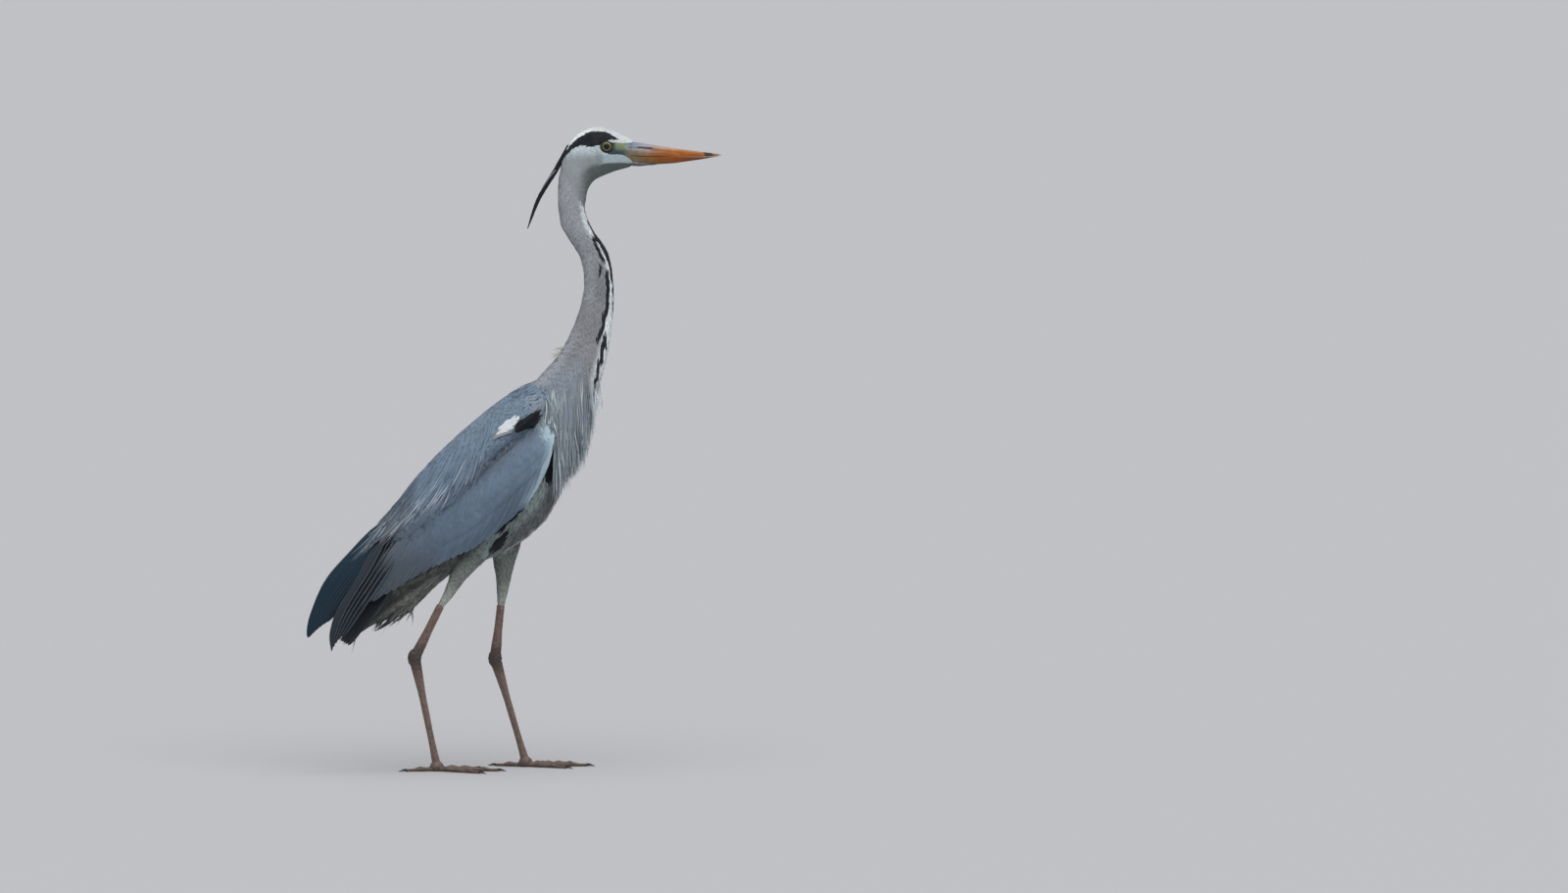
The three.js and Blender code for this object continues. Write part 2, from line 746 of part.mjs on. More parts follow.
function addWing(name, side) {
  const thighs = Object.values(LEGS).map((leg) => thigh(leg, GAP));
  const inner = [bodyCut, tail(GAP), undertail(GAP), ...thighs];
  const [tx, tz, lx, lz] = wingAt(WING_CUT);
  const panel = wingPanel(side);
  const whole = wingPanel(side, GAP);
  const coverts = trim(panel, [tx, tz], [lx, lz], 1);
  const secondaries = trim(panel, [tx, tz], [lx, lz], -1);
  add(`wing_coverts_${name}`, cut(coverts, ...inner), COLOURS.wing);
  add(`wing_secondaries_${name}`, cut(secondaries, ...inner), COLOURS.wing);
  const draped = shoulder(side, GAP);
  add(`wing_tertials_${name}`, cut(tertials(side), whole, draped, ...inner), COLOURS.wing);
  const rear = cut(primaries(side), whole, tertials(side, GAP), draped, ...inner);
  add(`wing_primaries_${name}`, rear, COLOURS.slate);
  const mantle = shoulder(side).trimByPlane([0, side, 0], GAP / 2);
  add(`scapulars_${name}`, cut(mantle, bodyCut, whole), COLOURS.wing);
}

function addPlumes() {
  const sides = Object.values(SIDES);
  const over = sides.flatMap((side) => [shoulder(side, GAP), wingPanel(side, GAP)]);
  over.push(frontPlumes(GAP));
  add("breast_plumes_front", cut(frontPlumes(), bodyCut), COLOURS.neck);
  for (const [name, side] of Object.entries(SIDES))
    add(`breast_plumes_${name}`, cut(breastPlumes(side), bodyCut, ...over), COLOURS.neck);
}

function addLeg(name, leg) {
  const padCut = pad(leg, GAP);
  add(`thigh_${name}`, cut(thigh(leg), bodyCut), COLOURS.thigh);
  add(`shank_${name}`, cut(shank(leg), thigh(leg, GAP)), COLOURS.leg, 0.6);
  add(`tarsus_${name}`, cut(tarsus(leg), padCut, shank(leg, GAP)), COLOURS.leg, 0.6);
  add(`foot_pad_${name}`, pad(leg), COLOURS.leg, 0.6);
  const placed = [padCut];
  for (const shape of TOES) {
    add(`toe_${shape.name}_${name}`, cut(toe(leg, shape, "toe"), ...placed), COLOURS.leg, 0.6);
    placed.push(toe(leg, shape, "toe", GAP));
    add(`claw_${shape.name}_${name}`, toe(leg, shape, "claw"), COLOURS.claw, 0.4);
  }
}

addHeadAndNeck();
addTrunkAndTail();
for (const [name, side] of Object.entries(SIDES)) addWing(name, side);
addPlumes();
for (const [name, leg] of Object.entries(LEGS)) addLeg(name, leg);

const box = new THREE.Box3().setFromObject(heron);
const middle = box.getCenter(new THREE.Vector3());
heron.position.set(-middle.x, -middle.y, -box.min.z);

export default heron;
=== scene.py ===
import math

import bmesh
import bpy
import numpy as np
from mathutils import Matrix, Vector
from mathutils.bvhtree import BVHTree
from mathutils.kdtree import KDTree


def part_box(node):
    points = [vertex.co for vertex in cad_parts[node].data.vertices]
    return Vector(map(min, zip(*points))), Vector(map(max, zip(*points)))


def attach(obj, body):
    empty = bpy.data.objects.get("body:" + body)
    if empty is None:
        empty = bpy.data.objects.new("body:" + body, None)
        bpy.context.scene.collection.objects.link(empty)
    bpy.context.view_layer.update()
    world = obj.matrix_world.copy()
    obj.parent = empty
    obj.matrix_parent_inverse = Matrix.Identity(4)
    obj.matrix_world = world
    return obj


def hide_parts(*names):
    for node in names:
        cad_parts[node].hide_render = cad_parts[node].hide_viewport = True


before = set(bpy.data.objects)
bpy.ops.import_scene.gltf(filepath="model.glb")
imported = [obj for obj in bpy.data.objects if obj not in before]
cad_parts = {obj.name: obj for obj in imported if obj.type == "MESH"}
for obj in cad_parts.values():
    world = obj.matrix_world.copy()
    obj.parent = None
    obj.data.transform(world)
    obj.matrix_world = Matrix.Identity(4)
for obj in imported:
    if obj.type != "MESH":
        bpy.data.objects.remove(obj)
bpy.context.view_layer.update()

# A grey heron: skin, feather coat, bill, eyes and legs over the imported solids.
# Shapes are worked out in millimetres in the bird's own side view: x ahead, y to its left, z up from the
# floor, with the bill's tip at x = BILL_TIP. metres() takes them to the frame.

MM = 0.001
BILL_TIP = 348.3
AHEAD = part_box("bill_upper")[1].x / MM - BILL_TIP
SIDES = {"right": -1, "left": 1}
rng = np.random.default_rng(7)

# ---------------------------------------------------------------- sizes and places

EYE = dict(x=190.7, y=8.9, z=861.0, radius=7.8, opening=6.3)

# The middle of the body from the bill's root to the tail's root.
SPINE = [
    (232, 850), (211, 854), (192, 854), (176, 852), (162, 844), (152, 833), (146, 819), (144, 803),
    (143, 783), (150, 746), (173, 712), (180, 666), (172, 612), (153, 558), (121, 503), (77, 447),
    (29, 381), (-23, 327), (-77, 287), (-114, 250), (-140, 225),
]

FLESH = ["head", "neck_upper", "neck_middle", "neck_lower", "trunk", "thigh_right", "thigh_left"]
UNDER_FEATHERS = ["undertail_coverts"] + [
    f"{part}_{name}" for name in SIDES for part in ("scapulars", "wing_coverts", "wing_secondaries")
]
# How deep the skin lies under the coat.
COAT_DEPTH = dict(
    head=0.6, neck=1.4, trunk=2.8, thigh=1.6, undertail=3.4, scapulars=2.2, wing=2.4
)
# Sizes of the remeshed quads, and how often surfaces are evened out.
SKIN_VOXEL = 2.2
LEG_VOXEL = 0.75
CLAW_VOXEL = 0.4
SKIN_ROUNDS = 14
SHOULDER_ROUNDS = 60
DEPTH_ROUNDS = 5

# Colours are linear.
WHITE = (0.85, 0.91, 0.95)
BLACK = (0.006, 0.009, 0.015)
CROWN = (0.93, 0.97, 1.0)
CHEEK_TOP = (0.62, 0.72, 0.77)
CHEEK_STRIPE = (0.62, 0.76, 0.81)
CHEEK = (0.36, 0.41, 0.42)
# Painted shade under the chin and throat.
CHIN_SHADE = (0.13, 0.155, 0.15)
NECK = (0.38, 0.40, 0.43)
NECK_MAUVE = (0.30, 0.305, 0.33)
NECK_BASE = (0.27, 0.32, 0.38)
PLUME = (0.23, 0.275, 0.30)
PLUME_PALE = (0.66, 0.73, 0.76)
BACK = (0.175, 0.245, 0.335)
WING = (0.17, 0.24, 0.33)
WING_BROWN = (0.16, 0.18, 0.22)
WING_REAR = (0.13, 0.165, 0.205)
WRIST = (0.42, 0.55, 0.63)
SLATE = (0.005, 0.026, 0.047)
TERTIAL = (0.021, 0.031, 0.043)
TAIL = (0.022, 0.030, 0.040)
FLANK = (0.35, 0.43, 0.425)
BELLY = (0.13, 0.14, 0.145)
THIGH = (0.40, 0.43, 0.40)
UNDERTAIL = (0.20, 0.215, 0.195)
LORE_YELLOW = (0.28, 0.32, 0.19)
LORE_BLUE = (0.040, 0.062, 0.078)

# ---------------------------------------------------------------- arrays and meshes


def metres(points):
    return (np.asarray(points, float) + (AHEAD, 0, 0)) * MM


def drawing(points):
    return np.asarray(points, float) / MM - (AHEAD, 0, 0)


def unit(v):
    return v / np.maximum(np.linalg.norm(v, axis=-1, keepdims=True), 1e-9)


def dot(a, b):
    return (a * b).sum(-1, keepdims=True)


def mix(a, b, share):
    share = np.clip(np.asarray(share, float), 0, 1)[..., None]
    return np.asarray(a) * (1 - share) + np.asarray(b) * share


def ease(low, high, value):
    t = np.clip((np.asarray(value, float) - low) / (high - low), 0, 1)
    return t * t * (3 - 2 * t)


def spline(points, count):
    """A smooth line of evenly spaced points through a few points."""
    points = np.asarray(points, float)
    ends = np.vstack([2 * points[0] - points[1], points, 2 * points[-1] - points[-2]])
    fine = []
    for a, b, c, d in zip(ends, ends[1:], ends[2:], ends[3:]):
        t = np.linspace(0, 1, 24, endpoint=False)[:, None]
        fine.append(
            0.5 * (2 * b + (c - a) * t + (2 * a - 5 * b + 4 * c - d) * t**2 + (3 * (b - c) + d - a) * t**3)
        )
    fine = np.vstack(fine + [points[-1:]])
    run = np.r_[0, np.cumsum(np.linalg.norm(np.diff(fine, axis=0), axis=1))]
    places = np.linspace(0, run[-1], count)
    return np.stack([np.interp(places, run, fine[:, i]) for i in range(fine.shape[1])], 1)


def at_places(line, places):
    """Points of a line at places counted in its own points."""
    return np.stack([np.interp(places, np.arange(len(line)), column) for column in line.T], 1)


def node_mesh(name):
    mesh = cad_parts[name].data
    mesh.calc_loop_triangles()
    verts = np.empty(len(mesh.vertices) * 3)
    mesh.vertices.foreach_get("co", verts)
    tris = np.empty(len(mesh.loop_triangles) * 3, int)
    mesh.loop_triangles.foreach_get("vertices", tris)
    return drawing(verts.reshape(-1, 3)), tris.reshape(-1, 3)


def joined(meshes):
    starts = np.cumsum([0] + [len(v) for v, _ in meshes[:-1]])
    verts = np.vstack([v for v, _ in meshes])
    faces = np.vstack([f + start for (_, f), start in zip(meshes, starts)])
    labels = np.repeat(np.arange(len(meshes)), [len(f) for _, f in meshes])
    return verts, faces, labels


def new_object(name, verts, faces, smooth=True):
    """A mesh object from arrays. All faces have the same number of corners."""
    mesh = bpy.data.meshes.new(name)
    corners = faces.shape[1]
    mesh.vertices.add(len(verts))
    mesh.vertices.foreach_set("co", metres(verts).astype(np.float32).ravel())
    mesh.loops.add(faces.size)
    mesh.loops.foreach_set("vertex_index", faces.astype(np.int32).ravel())
    mesh.polygons.add(len(faces))
    mesh.polygons.foreach_set("loop_start", np.arange(0, faces.size, corners, dtype=np.int32))
    mesh.polygons.foreach_set("use_smooth", np.full(len(faces), smooth))
    mesh.update(calc_edges=True)
    obj = bpy.data.objects.new(name, mesh)
    bpy.context.scene.collection.objects.link(obj)
    return obj


def set_tint(obj, colours):
    rgba = np.ones((len(colours), 4), np.float32)
    rgba[:, :3] = colours
    obj.data.color_attributes.new("tint", "FLOAT_COLOR", "POINT").data.foreach_set("color", rgba.ravel())


def set_vector(obj, name, values):
    layer = obj.data.attributes.new(name, "FLOAT_VECTOR", "POINT")
    layer.data.foreach_set("vector", np.asarray(values, np.float32).ravel())


def finish_piece(obj, material, replaced=()):
    obj.data.materials.append(material)
    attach(obj, "root")
    if replaced:
        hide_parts(*replaced)
    return obj


def remeshed(meshes, voxel):
    """The outer surface of closed meshes as one mesh of small quads."""
    verts, faces, _ = joined(meshes)
    rough = new_object("rough", verts, faces)
    step = rough.modifiers.new("Remesh", "REMESH")
    step.mode = "VOXEL"
    step.voxel_size = voxel * MM
    made = rough.evaluated_get(bpy.context.evaluated_depsgraph_get()).to_mesh()
    points = np.empty(len(made.vertices) * 3)
    made.vertices.foreach_get("co", points)
    quads = np.array([p.vertices[:] for p in made.polygons if len(p.vertices) == 4])
    bpy.data.objects.remove(rough)
    return drawing(points.reshape(-1, 3)), quads


def edges_of(quads):
    pairs = np.vstack([quads[:, [i, (i + 1) % 4]] for i in range(4)])
    return np.unique(np.sort(pairs, axis=1), axis=0)


def neighbour_mean(values, edges):
    count = np.bincount(edges.ravel(), minlength=len(values))
    out = np.empty_like(values)
    for i in range(values.shape[1]):
        total = np.bincount(edges[:, 0], values[edges[:, 1], i], len(values))
        out[:, i] = total + np.bincount(edges[:, 1], values[edges[:, 0], i], len(values))
    return out / np.maximum(count, 1)[:, None]


def smoothed(verts, edges, rounds):
    """Evens out a surface without shrinking it."""
    for _ in range(rounds):
        for strength in (0.55, -0.57):
            verts = verts + strength * (neighbour_mean(verts, edges) - verts)
    return verts


def vertex_normals(verts, quads):
    across = np.cross(verts[quads[:, 2]] - verts[quads[:, 0]], verts[quads[:, 3]] - verts[quads[:, 1]])
    total = np.zeros_like(verts)
    for i in range(3):
        for corner in range(4):
            total[:, i] += np.bincount(quads[:, corner], across[:, i], len(verts))
    return unit(total)


class Surface:
    """A mesh that feathers grow on."""

    def __init__(self, verts, faces, normals=None, labels=None):
        self.verts, self.faces, self.normals, self.labels = verts, faces, normals, labels
        self.tree = BVHTree.FromPolygons(verts.tolist(), faces.tolist())

    def nearest(self, points):
        places = np.empty((len(points), 3))
        index = np.empty(len(points), int)
        for i, point in enumerate(points.tolist()):
            place, _, index[i], _ = self.tree.find_nearest(point)
            places[i] = place
        if self.normals is None:
            return places, index
        return places, unit(self.normals[self.faces[index]].mean(1)), index

    def out_on(self, side, xz, fallback):
        """How far out the surface lies on one side at points of the side view."""
        out = np.empty(len(xz))
        for i, (x, z) in enumerate(xz.tolist()):
            hit = self.tree.ray_cast((x, side * 200, z), (0, -side, 0))[0]
            out[i] = fallback if hit is None else side * hit[1]
        return out


# ---------------------------------------------------------------- the body's lie

MIDLINE = spline(SPINE, 260)
MIDLINE_AHEAD = unit(np.gradient(MIDLINE, axis=0))
MIDLINE_RUN = np.r_[0, np.cumsum(np.linalg.norm(np.diff(MIDLINE, axis=0), axis=1))]


def along_body(points):
    """For each point: its place along the midline in mm, and the angle round it from the back, in radians."""
    xz = points[:, [0, 2]]
    near = np.empty(len(points), int)
    for start in range(0, len(points), 4000):
        block = xz[start : start + 4000, None] - MIDLINE[None]
        near[start : start + 4000] = (block**2).sum(-1).argmin(1)
    tangent = MIDLINE_AHEAD[near]
    back = np.stack([tangent[:, 1], -tangent[:, 0]], 1)
    height = ((xz - MIDLINE[near]) * -back).sum(1)
    return MIDLINE_RUN[near], np.arctan2(points[:, 1], -height), near


def roundness(points):
    """How far round the body each point lies: 0 on its back, 1 under it."""
    return np.abs(along_body(points)[1]) / math.pi


def to_3d(xz):
    return np.stack([xz[:, 0], np.zeros(len(xz)), xz[:, 1]], 1)


def towards_tail(points):
    return to_3d(MIDLINE_AHEAD[along_body(points)[2]])


def heading(degrees):
    """A direction of the side view: so many degrees below straight back."""
    angle = np.radians(np.asarray(degrees, float))
    return np.stack([-np.cos(angle), np.zeros_like(angle), -np.sin(angle)], -1)


# ---------------------------------------------------------------- markings

# The black band over the eye, from its front end to the nape: x, lower edge, upper edge.
BAND = np.array([
    (207, 869.8, 871.0), (203, 869.4, 873.2), (199.3, 870.2, 875.6), (194.6, 870.0, 879.0),
    (190, 867.6, 880.6), (184.5, 864.4, 881.4), (180.6, 863.0, 881.6), (174.4, 861.4, 881.4),
    (170.6, 860.8, 881.0), (165.1, 860.8, 879.8), (159.7, 861.6, 877.4), (151.2, 861.8, 872.4),
    (142, 856.0, 863.8), (135, 848.5, 855.0), (129, 840.0, 848.0),
])[::-1]
# The streaks down the front of the neck in the side view: points of each one, and its width.
STREAKS = [
    ([(161, 774), (166, 755), (173, 740)], 2.6),
    ([(173, 740), (181, 729), (190, 714), (195.5, 697)], 4.4),
    ([(196, 694), (198.5, 676)], 4.0),
    ([(199.5, 671), (199.8, 655)], 3.2),
    ([(199.8, 650), (199.4, 629)], 2.6),
    ([(171, 736), (176, 724), (181, 714), (187, 703)], 4.4),
    ([(182, 698), (182, 685)], 4.0),
    ([(190.5, 690), (192.6, 668), (191.8, 646), (190.3, 629)], 5.0),
    ([(187, 632), (186.4, 617), (182.5, 605), (177.5, 593)], 4.8),
    ([(187.8, 603), (189.3, 584)], 4.2),
    ([(185, 589), (184.3, 574), (183.6, 562)], 4.2),
    ([(179.8, 566), (178.6, 552), (178, 540)], 4.0),
    ([(174.4, 542), (175.8, 528)], 3.2),
]
# Black patches in the side view: at the wing's leading edge, and where the flank meets the thigh. The last
# two are painted shadow in slits between feather tips at the wing's lower edge.
DARK_PATCHES = [
    [(121, 446), (121, 402), (107, 398), (98, 404), (108, 440)],
    [(58, 332), (50, 331), (38, 320), (28, 304), (36, 300), (47, 310)],
    [(39, 331), (57, 354), (61, 350), (44, 328)],
    [(56, 353), (78, 373), (81, 368), (61, 347)],
]


def above_wing_edge(points):
    """Height over the folded wing's lower edge."""
    return points[:, 2] - np.interp(points[:, 0], (-136, -106, -70, -30, 10), (233, 252, 273, 293, 313))


def wing_shadow(points):
    """A dark line where the body's feathers run under the wing's lower edge."""
    return 1 - 0.7 * (ease(6.5, 2.5, -above_wing_edge(points)) * ease(10, -5, points[:, 0]))[:, None]


def within(points, corners):
    """Which points lie inside a convex patch of the side view, given anticlockwise or clockwise."""
    corners = np.asarray(corners, float)
    sides = []
    for a, b in zip(corners, np.roll(corners, -1, axis=0)):
        ahead, to = b - a, points[:, [0, 2]] - a
        sides.append(ahead[0] * to[:, 1] - ahead[1] * to[:, 0] > 0)
    sides = np.array(sides)
    return sides.all(0) | (~sides).all(0)


def distance_to_line(xz, line):
    line = np.asarray(line, float)
    best = np.full(len(xz), np.inf)
    for a, b in zip(line, line[1:]):
        t = np.clip(((xz - a) @ (b - a)) / ((b - a) @ (b - a)), 0, 1)[:, None]
        best = np.minimum(best, np.linalg.norm(xz - a - t * (b - a), axis=1))
    return best


def patchy(points, scale, strength, seed=0):
    """A slow random change over the body, as a factor round 1."""
    waves = np.random.default_rng(seed).normal(size=(7, 3)) * (2 * math.pi / scale)
    phases = np.random.default_rng(seed + 1).uniform(0, 2 * math.pi, 7)
    return 1 + strength * np.sin(points @ waves.T + phases).mean(1) * 1.9


def in_band(points):
    low = np.interp(points[:, 0], BAND[:, 0], BAND[:, 1])
    high = np.interp(points[:, 0], BAND[:, 0], BAND[:, 2])
    edge = 0.5 * np.sin(points[:, 0] * 2.1) + 0.4 * np.sin(points[:, 0] * 5.3)
    inside = (points[:, 2] > low + edge) & (points[:, 2] < high + edge)
    return inside & (points[:, 0] > 128) & (points[:, 0] < 207)


# Where the throat's shade begins below the cheek in the side view.
THROAT = [(150, 816), (160, 829), (170, 835), (180, 835), (190, 838), (210, 838.4), (232, 836.6)]


def head_colour(points):
    x, _, z = points.T
    colour = mix(CHEEK, CHEEK_TOP, ease(840, 859, z))
    colour = mix(colour, CHEEK_STRIPE, ease(182, 190, x))
    colour = mix(colour, NECK, ease(846, 820, z) * ease(176, 150, x))
    below = height_of(THROAT, x) - z
    # Painted shade under the chin and down the throat, below the THROAT line.
    colour = mix(colour, CHIN_SHADE, ease(-1, 1, below / np.interp(x, (158, 186), (9, 1.4))) * ease(142, 172, x))
    colour = mix(colour, CROWN, ease(862, 868, z))
    colour[in_band(points)] = BLACK
    return colour * patchy(points, 30, 0.05, 3)[:, None]


def neck_colour(points):
    x, y, z = points.T
    front = roundness(points)
    colour = mix(NECK, NECK_MAUVE, ease(690, 610, z))
    colour = mix(colour, NECK_BASE, ease(585, 530, z) * ease(0.75, 0.45, front))
    colour = mix(colour, (0.40, 0.42, 0.47), ease(0.32, 0.15, front) * ease(515, 545, z) * ease(640, 590, z))
    # Painted shade: the front of the neck is darker round its middle.
    colour = colour * (1 - 0.32 * np.exp(-(((z - 672) / 42) ** 2)) * ease(0.3, 0.5, front))[:, None]
    colour = mix(colour, WHITE, ease(0.66, 0.8, front) * ease(505, 560, z) * ease(800, 770, z))
    # Painted shade on the front of the neck just under the throat.
    colour = colour * (1 - 0.40 * ease(0.5, 0.85, front) * ease(786, 822, z))[:, None]
    streaked = np.zeros(len(points), bool)
    for line, width in STREAKS:
        streaked |= (distance_to_line(points[:, [0, 2]], line) < width / 2) & (np.abs(y) > 1.6)
    colour[streaked] = BLACK
    return colour * patchy(points, 45, 0.07, 5)[:, None]


def trunk_colour(points):
    x, _, z = points.T
    under = roundness(points)
    colour = mix(BACK, FLANK, ease(0.42, 0.55, under))
    colour = mix(colour, UNDERTAIL, ease(45, -15, x + 0.3 * (z - 300)) * ease(0.42, 0.55, under))
    # Painted shade: the flank darkens as it turns under the body. It is also darker low on the flank from x
    # 20 on.
    colour = colour * (1 - 0.15 * ease(0.62, 0.8, under) - 0.25 * ease(372, 345, z)
                       * ease(20, 50, x))[:, None]
    colour = mix(colour, BELLY, ease(0.80, 0.88, under) * ease(30, 70, x))
    colour = mix(colour, (0.46, 0.48, 0.48), ease(0.94, 0.985, under))
    colour = mix(colour, PLUME, ease(420, 470, z) * ease(0.5, 0.7, under))
    # Black patches, and painted shadow in two slits at the wing's lower edge.
    for patch in DARK_PATCHES:
        colour[within(points, patch)] = BLACK
    return colour * wing_shadow(points) * patchy(points, 40, 0.08, 8)[:, None]


def mantle_colour(points):
    x = points[:, 0]
    colour = mix(BACK, WING_REAR, ease(-50, -110, x))
    colour = mix(colour, NECK_BASE, ease(70, 100, x))
    return colour * patchy(points, 34, 0.10, 11)[:, None]


def wing_colour(points):
    x, _, z = points.T
    colour = mix(WING, WING_REAR, ease(-20, -110, x))
    height = z - (377 + 0.92 * (x - 20))
    colour = mix(colour, WING_BROWN, 0.8 * ease(0, 60, height) * ease(-40, 30, x) * ease(112, 95, x))
    inward = np.interp(z, (372, 393, 408, 429, 445, 460, 474, 490),
                       (78, 93, 104, 112, 118, 119, 115, 100)) - x
    low = z - np.interp(x, (-136, -70, 10, 78, 104), (233, 273, 313, 373, 407))
    colour = colour * (1 - 0.34 * ease(75, 20, low) * ease(100, 60, x))[:, None]
    colour = mix(colour, WRIST, ease(19, 9, inward) * ease(365, 392, z))
    broad = patchy(points, 26, 0.10, 13)[:, None]
    fine = patchy(points * (1, 1, 0.35), 9, 0.06, 14)[:, None]
    return colour * broad * fine


def thigh_colour(points):
    pale = mix(THIGH, FLANK, ease(270, 320, points[:, 2]))
    # Painted shade: the thigh darkens towards its top, under the body.
    colour = pale * (1 - 0.42 * ease(232, 268, points[:, 2]))[:, None]
    return colour * patchy(points, 30, 0.05, 17)[:, None]


def undertail_colour(points):
    colour = mix(UNDERTAIL, TAIL, ease(-80, -135, points[:, 0]) * 0.65)
    return colour * wing_shadow(points) * patchy(points, 22, 0.2, 19)[:, None]


# ---------------------------------------------------------------- materials


def nodes_of(name):
    material = bpy.data.materials.new(name)
    material.use_nodes = True
    tree = material.node_tree
    return material, tree.nodes, tree.links, tree.nodes["Principled BSDF"]


def add_node(nodes, kind, **values):
    node = nodes.new(kind)
    for key, value in values.items():
        if hasattr(node, key):
            setattr(node, key, value)
        else:
            node.inputs[key.replace("_", " ")].default_value = value
    return node


def attribute(nodes, name):
    return add_node(nodes, "ShaderNodeAttribute", attribute_name=name)


def maths(nodes, links, operation, *inputs):
    node = add_node(nodes, "ShaderNodeMath", operation=operation)
    for socket, value in zip(node.inputs, inputs):
        if isinstance(value, (int, float)):
            socket.default_value = value
        else:
            links.new(value, socket)
    return node.outputs[0]


def multiply(nodes, links, colour, factor):
    node = add_node(nodes, "ShaderNodeVectorMath", operation="SCALE")
    links.new(colour, node.inputs[0])
    links.new(factor, node.inputs["Scale"])
    return node.outputs[0]


def bumped(nodes, links, shader, height, distance, strength):
    bump = add_node(nodes, "ShaderNodeBump", Strength=strength, Distance=distance * MM)
    links.new(height, bump.inputs["Height"])
    links.new(bump.outputs[0], shader.inputs["Normal"])


def noise_of(nodes, links, scale, detail=3.0, vector=None):
    node = add_node(nodes, "ShaderNodeTexNoise", Scale=scale, Detail=detail)
    if vector is None:
        vector = nodes.new("ShaderNodeTexCoord").outputs["Object"]
    links.new(vector, node.inputs["Vector"])
    return node.outputs["Fac"]


def feather_material(name, roughness, sheen, contrast):
    """Feather: the tint along each vane, fine uneven barbs slanting from the shaft, and wear."""
    material, nodes, links, shader = nodes_of(name)
    tint = attribute(nodes, "tint").outputs["Color"]
    split = nodes.new("ShaderNodeSeparateXYZ")
    links.new(attribute(nodes, "vane").outputs["Vector"], split.inputs[0])
    out = maths(nodes, links, "ABSOLUTE", split.outputs[0])
    place = maths(nodes, links, "SUBTRACT", split.outputs[1], out)
    strand = nodes.new("ShaderNodeCombineXYZ")
    links.new(maths(nodes, links, "MULTIPLY", place, 2.4), strand.inputs[0])
    links.new(maths(nodes, links, "MULTIPLY", out, 0.12), strand.inputs[1])
    links.new(maths(nodes, links, "MULTIPLY", split.outputs[2], 50.0), strand.inputs[2])
    barbs = noise_of(nodes, links, 1.0, 2.0, strand.outputs[0])
    grain = noise_of(nodes, links, 700.0)
    shade = maths(nodes, links, "MULTIPLY_ADD", barbs, 2 * contrast, 1 - contrast)
    worn = maths(nodes, links, "MULTIPLY_ADD", grain, 0.24, 0.88)
    links.new(multiply(nodes, links, tint, maths(nodes, links, "MULTIPLY", shade, worn)),
              shader.inputs["Base Color"])
    bumped(nodes, links, shader, barbs, 0.10, 0.35)
    shader.inputs["Roughness"].default_value = roughness
    shader.inputs["Sheen Weight"].default_value = sheen
    shader.inputs["Sheen Roughness"].default_value = 0.5
    shader.inputs["Specular IOR Level"].default_value = 0.3
    return material


def skin_material(name, roughness, scale, depth):
    """Bare or downy skin: the same tint as the coat, with pores and fine creases."""
    material, nodes, links, shader = nodes_of(name)
    tint = attribute(nodes, "tint").outputs["Color"]
    cells = add_node(nodes, "ShaderNodeTexVoronoi", Scale=scale)
    links.new(nodes.new("ShaderNodeTexCoord").outputs["Object"], cells.inputs["Vector"])
    mottled = maths(nodes, links, "MULTIPLY_ADD", noise_of(nodes, links, 260.0), 0.4, 0.8)
    links.new(multiply(nodes, links, tint, mottled), shader.inputs["Base Color"])
    bumped(nodes, links, shader, cells.outputs["Distance"], depth, 0.6)
    shader.inputs["Roughness"].default_value = roughness
    return material


def horn_material(name, roughness, coat):
    """Horn: the tint, with long grain and small scratches along it, under a low polish."""
    material, nodes, links, shader = nodes_of(name)
    tint = attribute(nodes, "tint").outputs["Color"]
    stretch = add_node(nodes, "ShaderNodeMapping")
    stretch.inputs["Scale"].default_value = (0.06, 1.0, 1.0)
    links.new(nodes.new("ShaderNodeTexCoord").outputs["Object"], stretch.inputs["Vector"])
    grain = noise_of(nodes, links, 900.0, 5.0, stretch.outputs[0])
    blotch = noise_of(nodes, links, 150.0, 4.0)
    shade = maths(nodes, links, "MULTIPLY_ADD", grain, 0.5, 0.55)
    shade = maths(nodes, links, "MULTIPLY_ADD", blotch, 0.4, shade)
    links.new(multiply(nodes, links, tint, shade), shader.inputs["Base Color"])
    rough = maths(nodes, links, "MULTIPLY_ADD", grain, 0.25, roughness - 0.1)
    links.new(rough, shader.inputs["Roughness"])
    bumped(nodes, links, shader, grain, 0.15, 0.35)
    shader.inputs["Coat Weight"].default_value = coat
    shader.inputs["Coat Roughness"].default_value = 0.25
    shader.inputs["Specular IOR Level"].default_value = 0.25
    return material


SOFT = feather_material("soft_feather", 0.85, 0.15, 0.16)
STIFF = feather_material("flight_feather", 0.58, 0.08, 0.26)
DOWN = skin_material("feathered_skin", 0.9, 900.0, 0.2)
SCALES = skin_material("leg_skin", 0.55, 1100.0, 0.10)
HORN = horn_material("bill_horn", 0.42, 0.12)
CLAW = horn_material("claw_horn", 0.42, 0.2)

# ---------------------------------------------------------------- skin

# The leading part of each node's name says which part of the coat it carries.
COAT_OF = dict(
    head="head", neck="neck", trunk="trunk", thigh="thigh", undertail="undertail",
    scapulars="scapulars", wing="wing",
)
COLOUR_OF = dict(
    head=head_colour, neck=neck_colour, trunk=trunk_colour, thigh=thigh_colour,
    undertail=undertail_colour, scapulars=mantle_colour, wing=wing_colour,
)

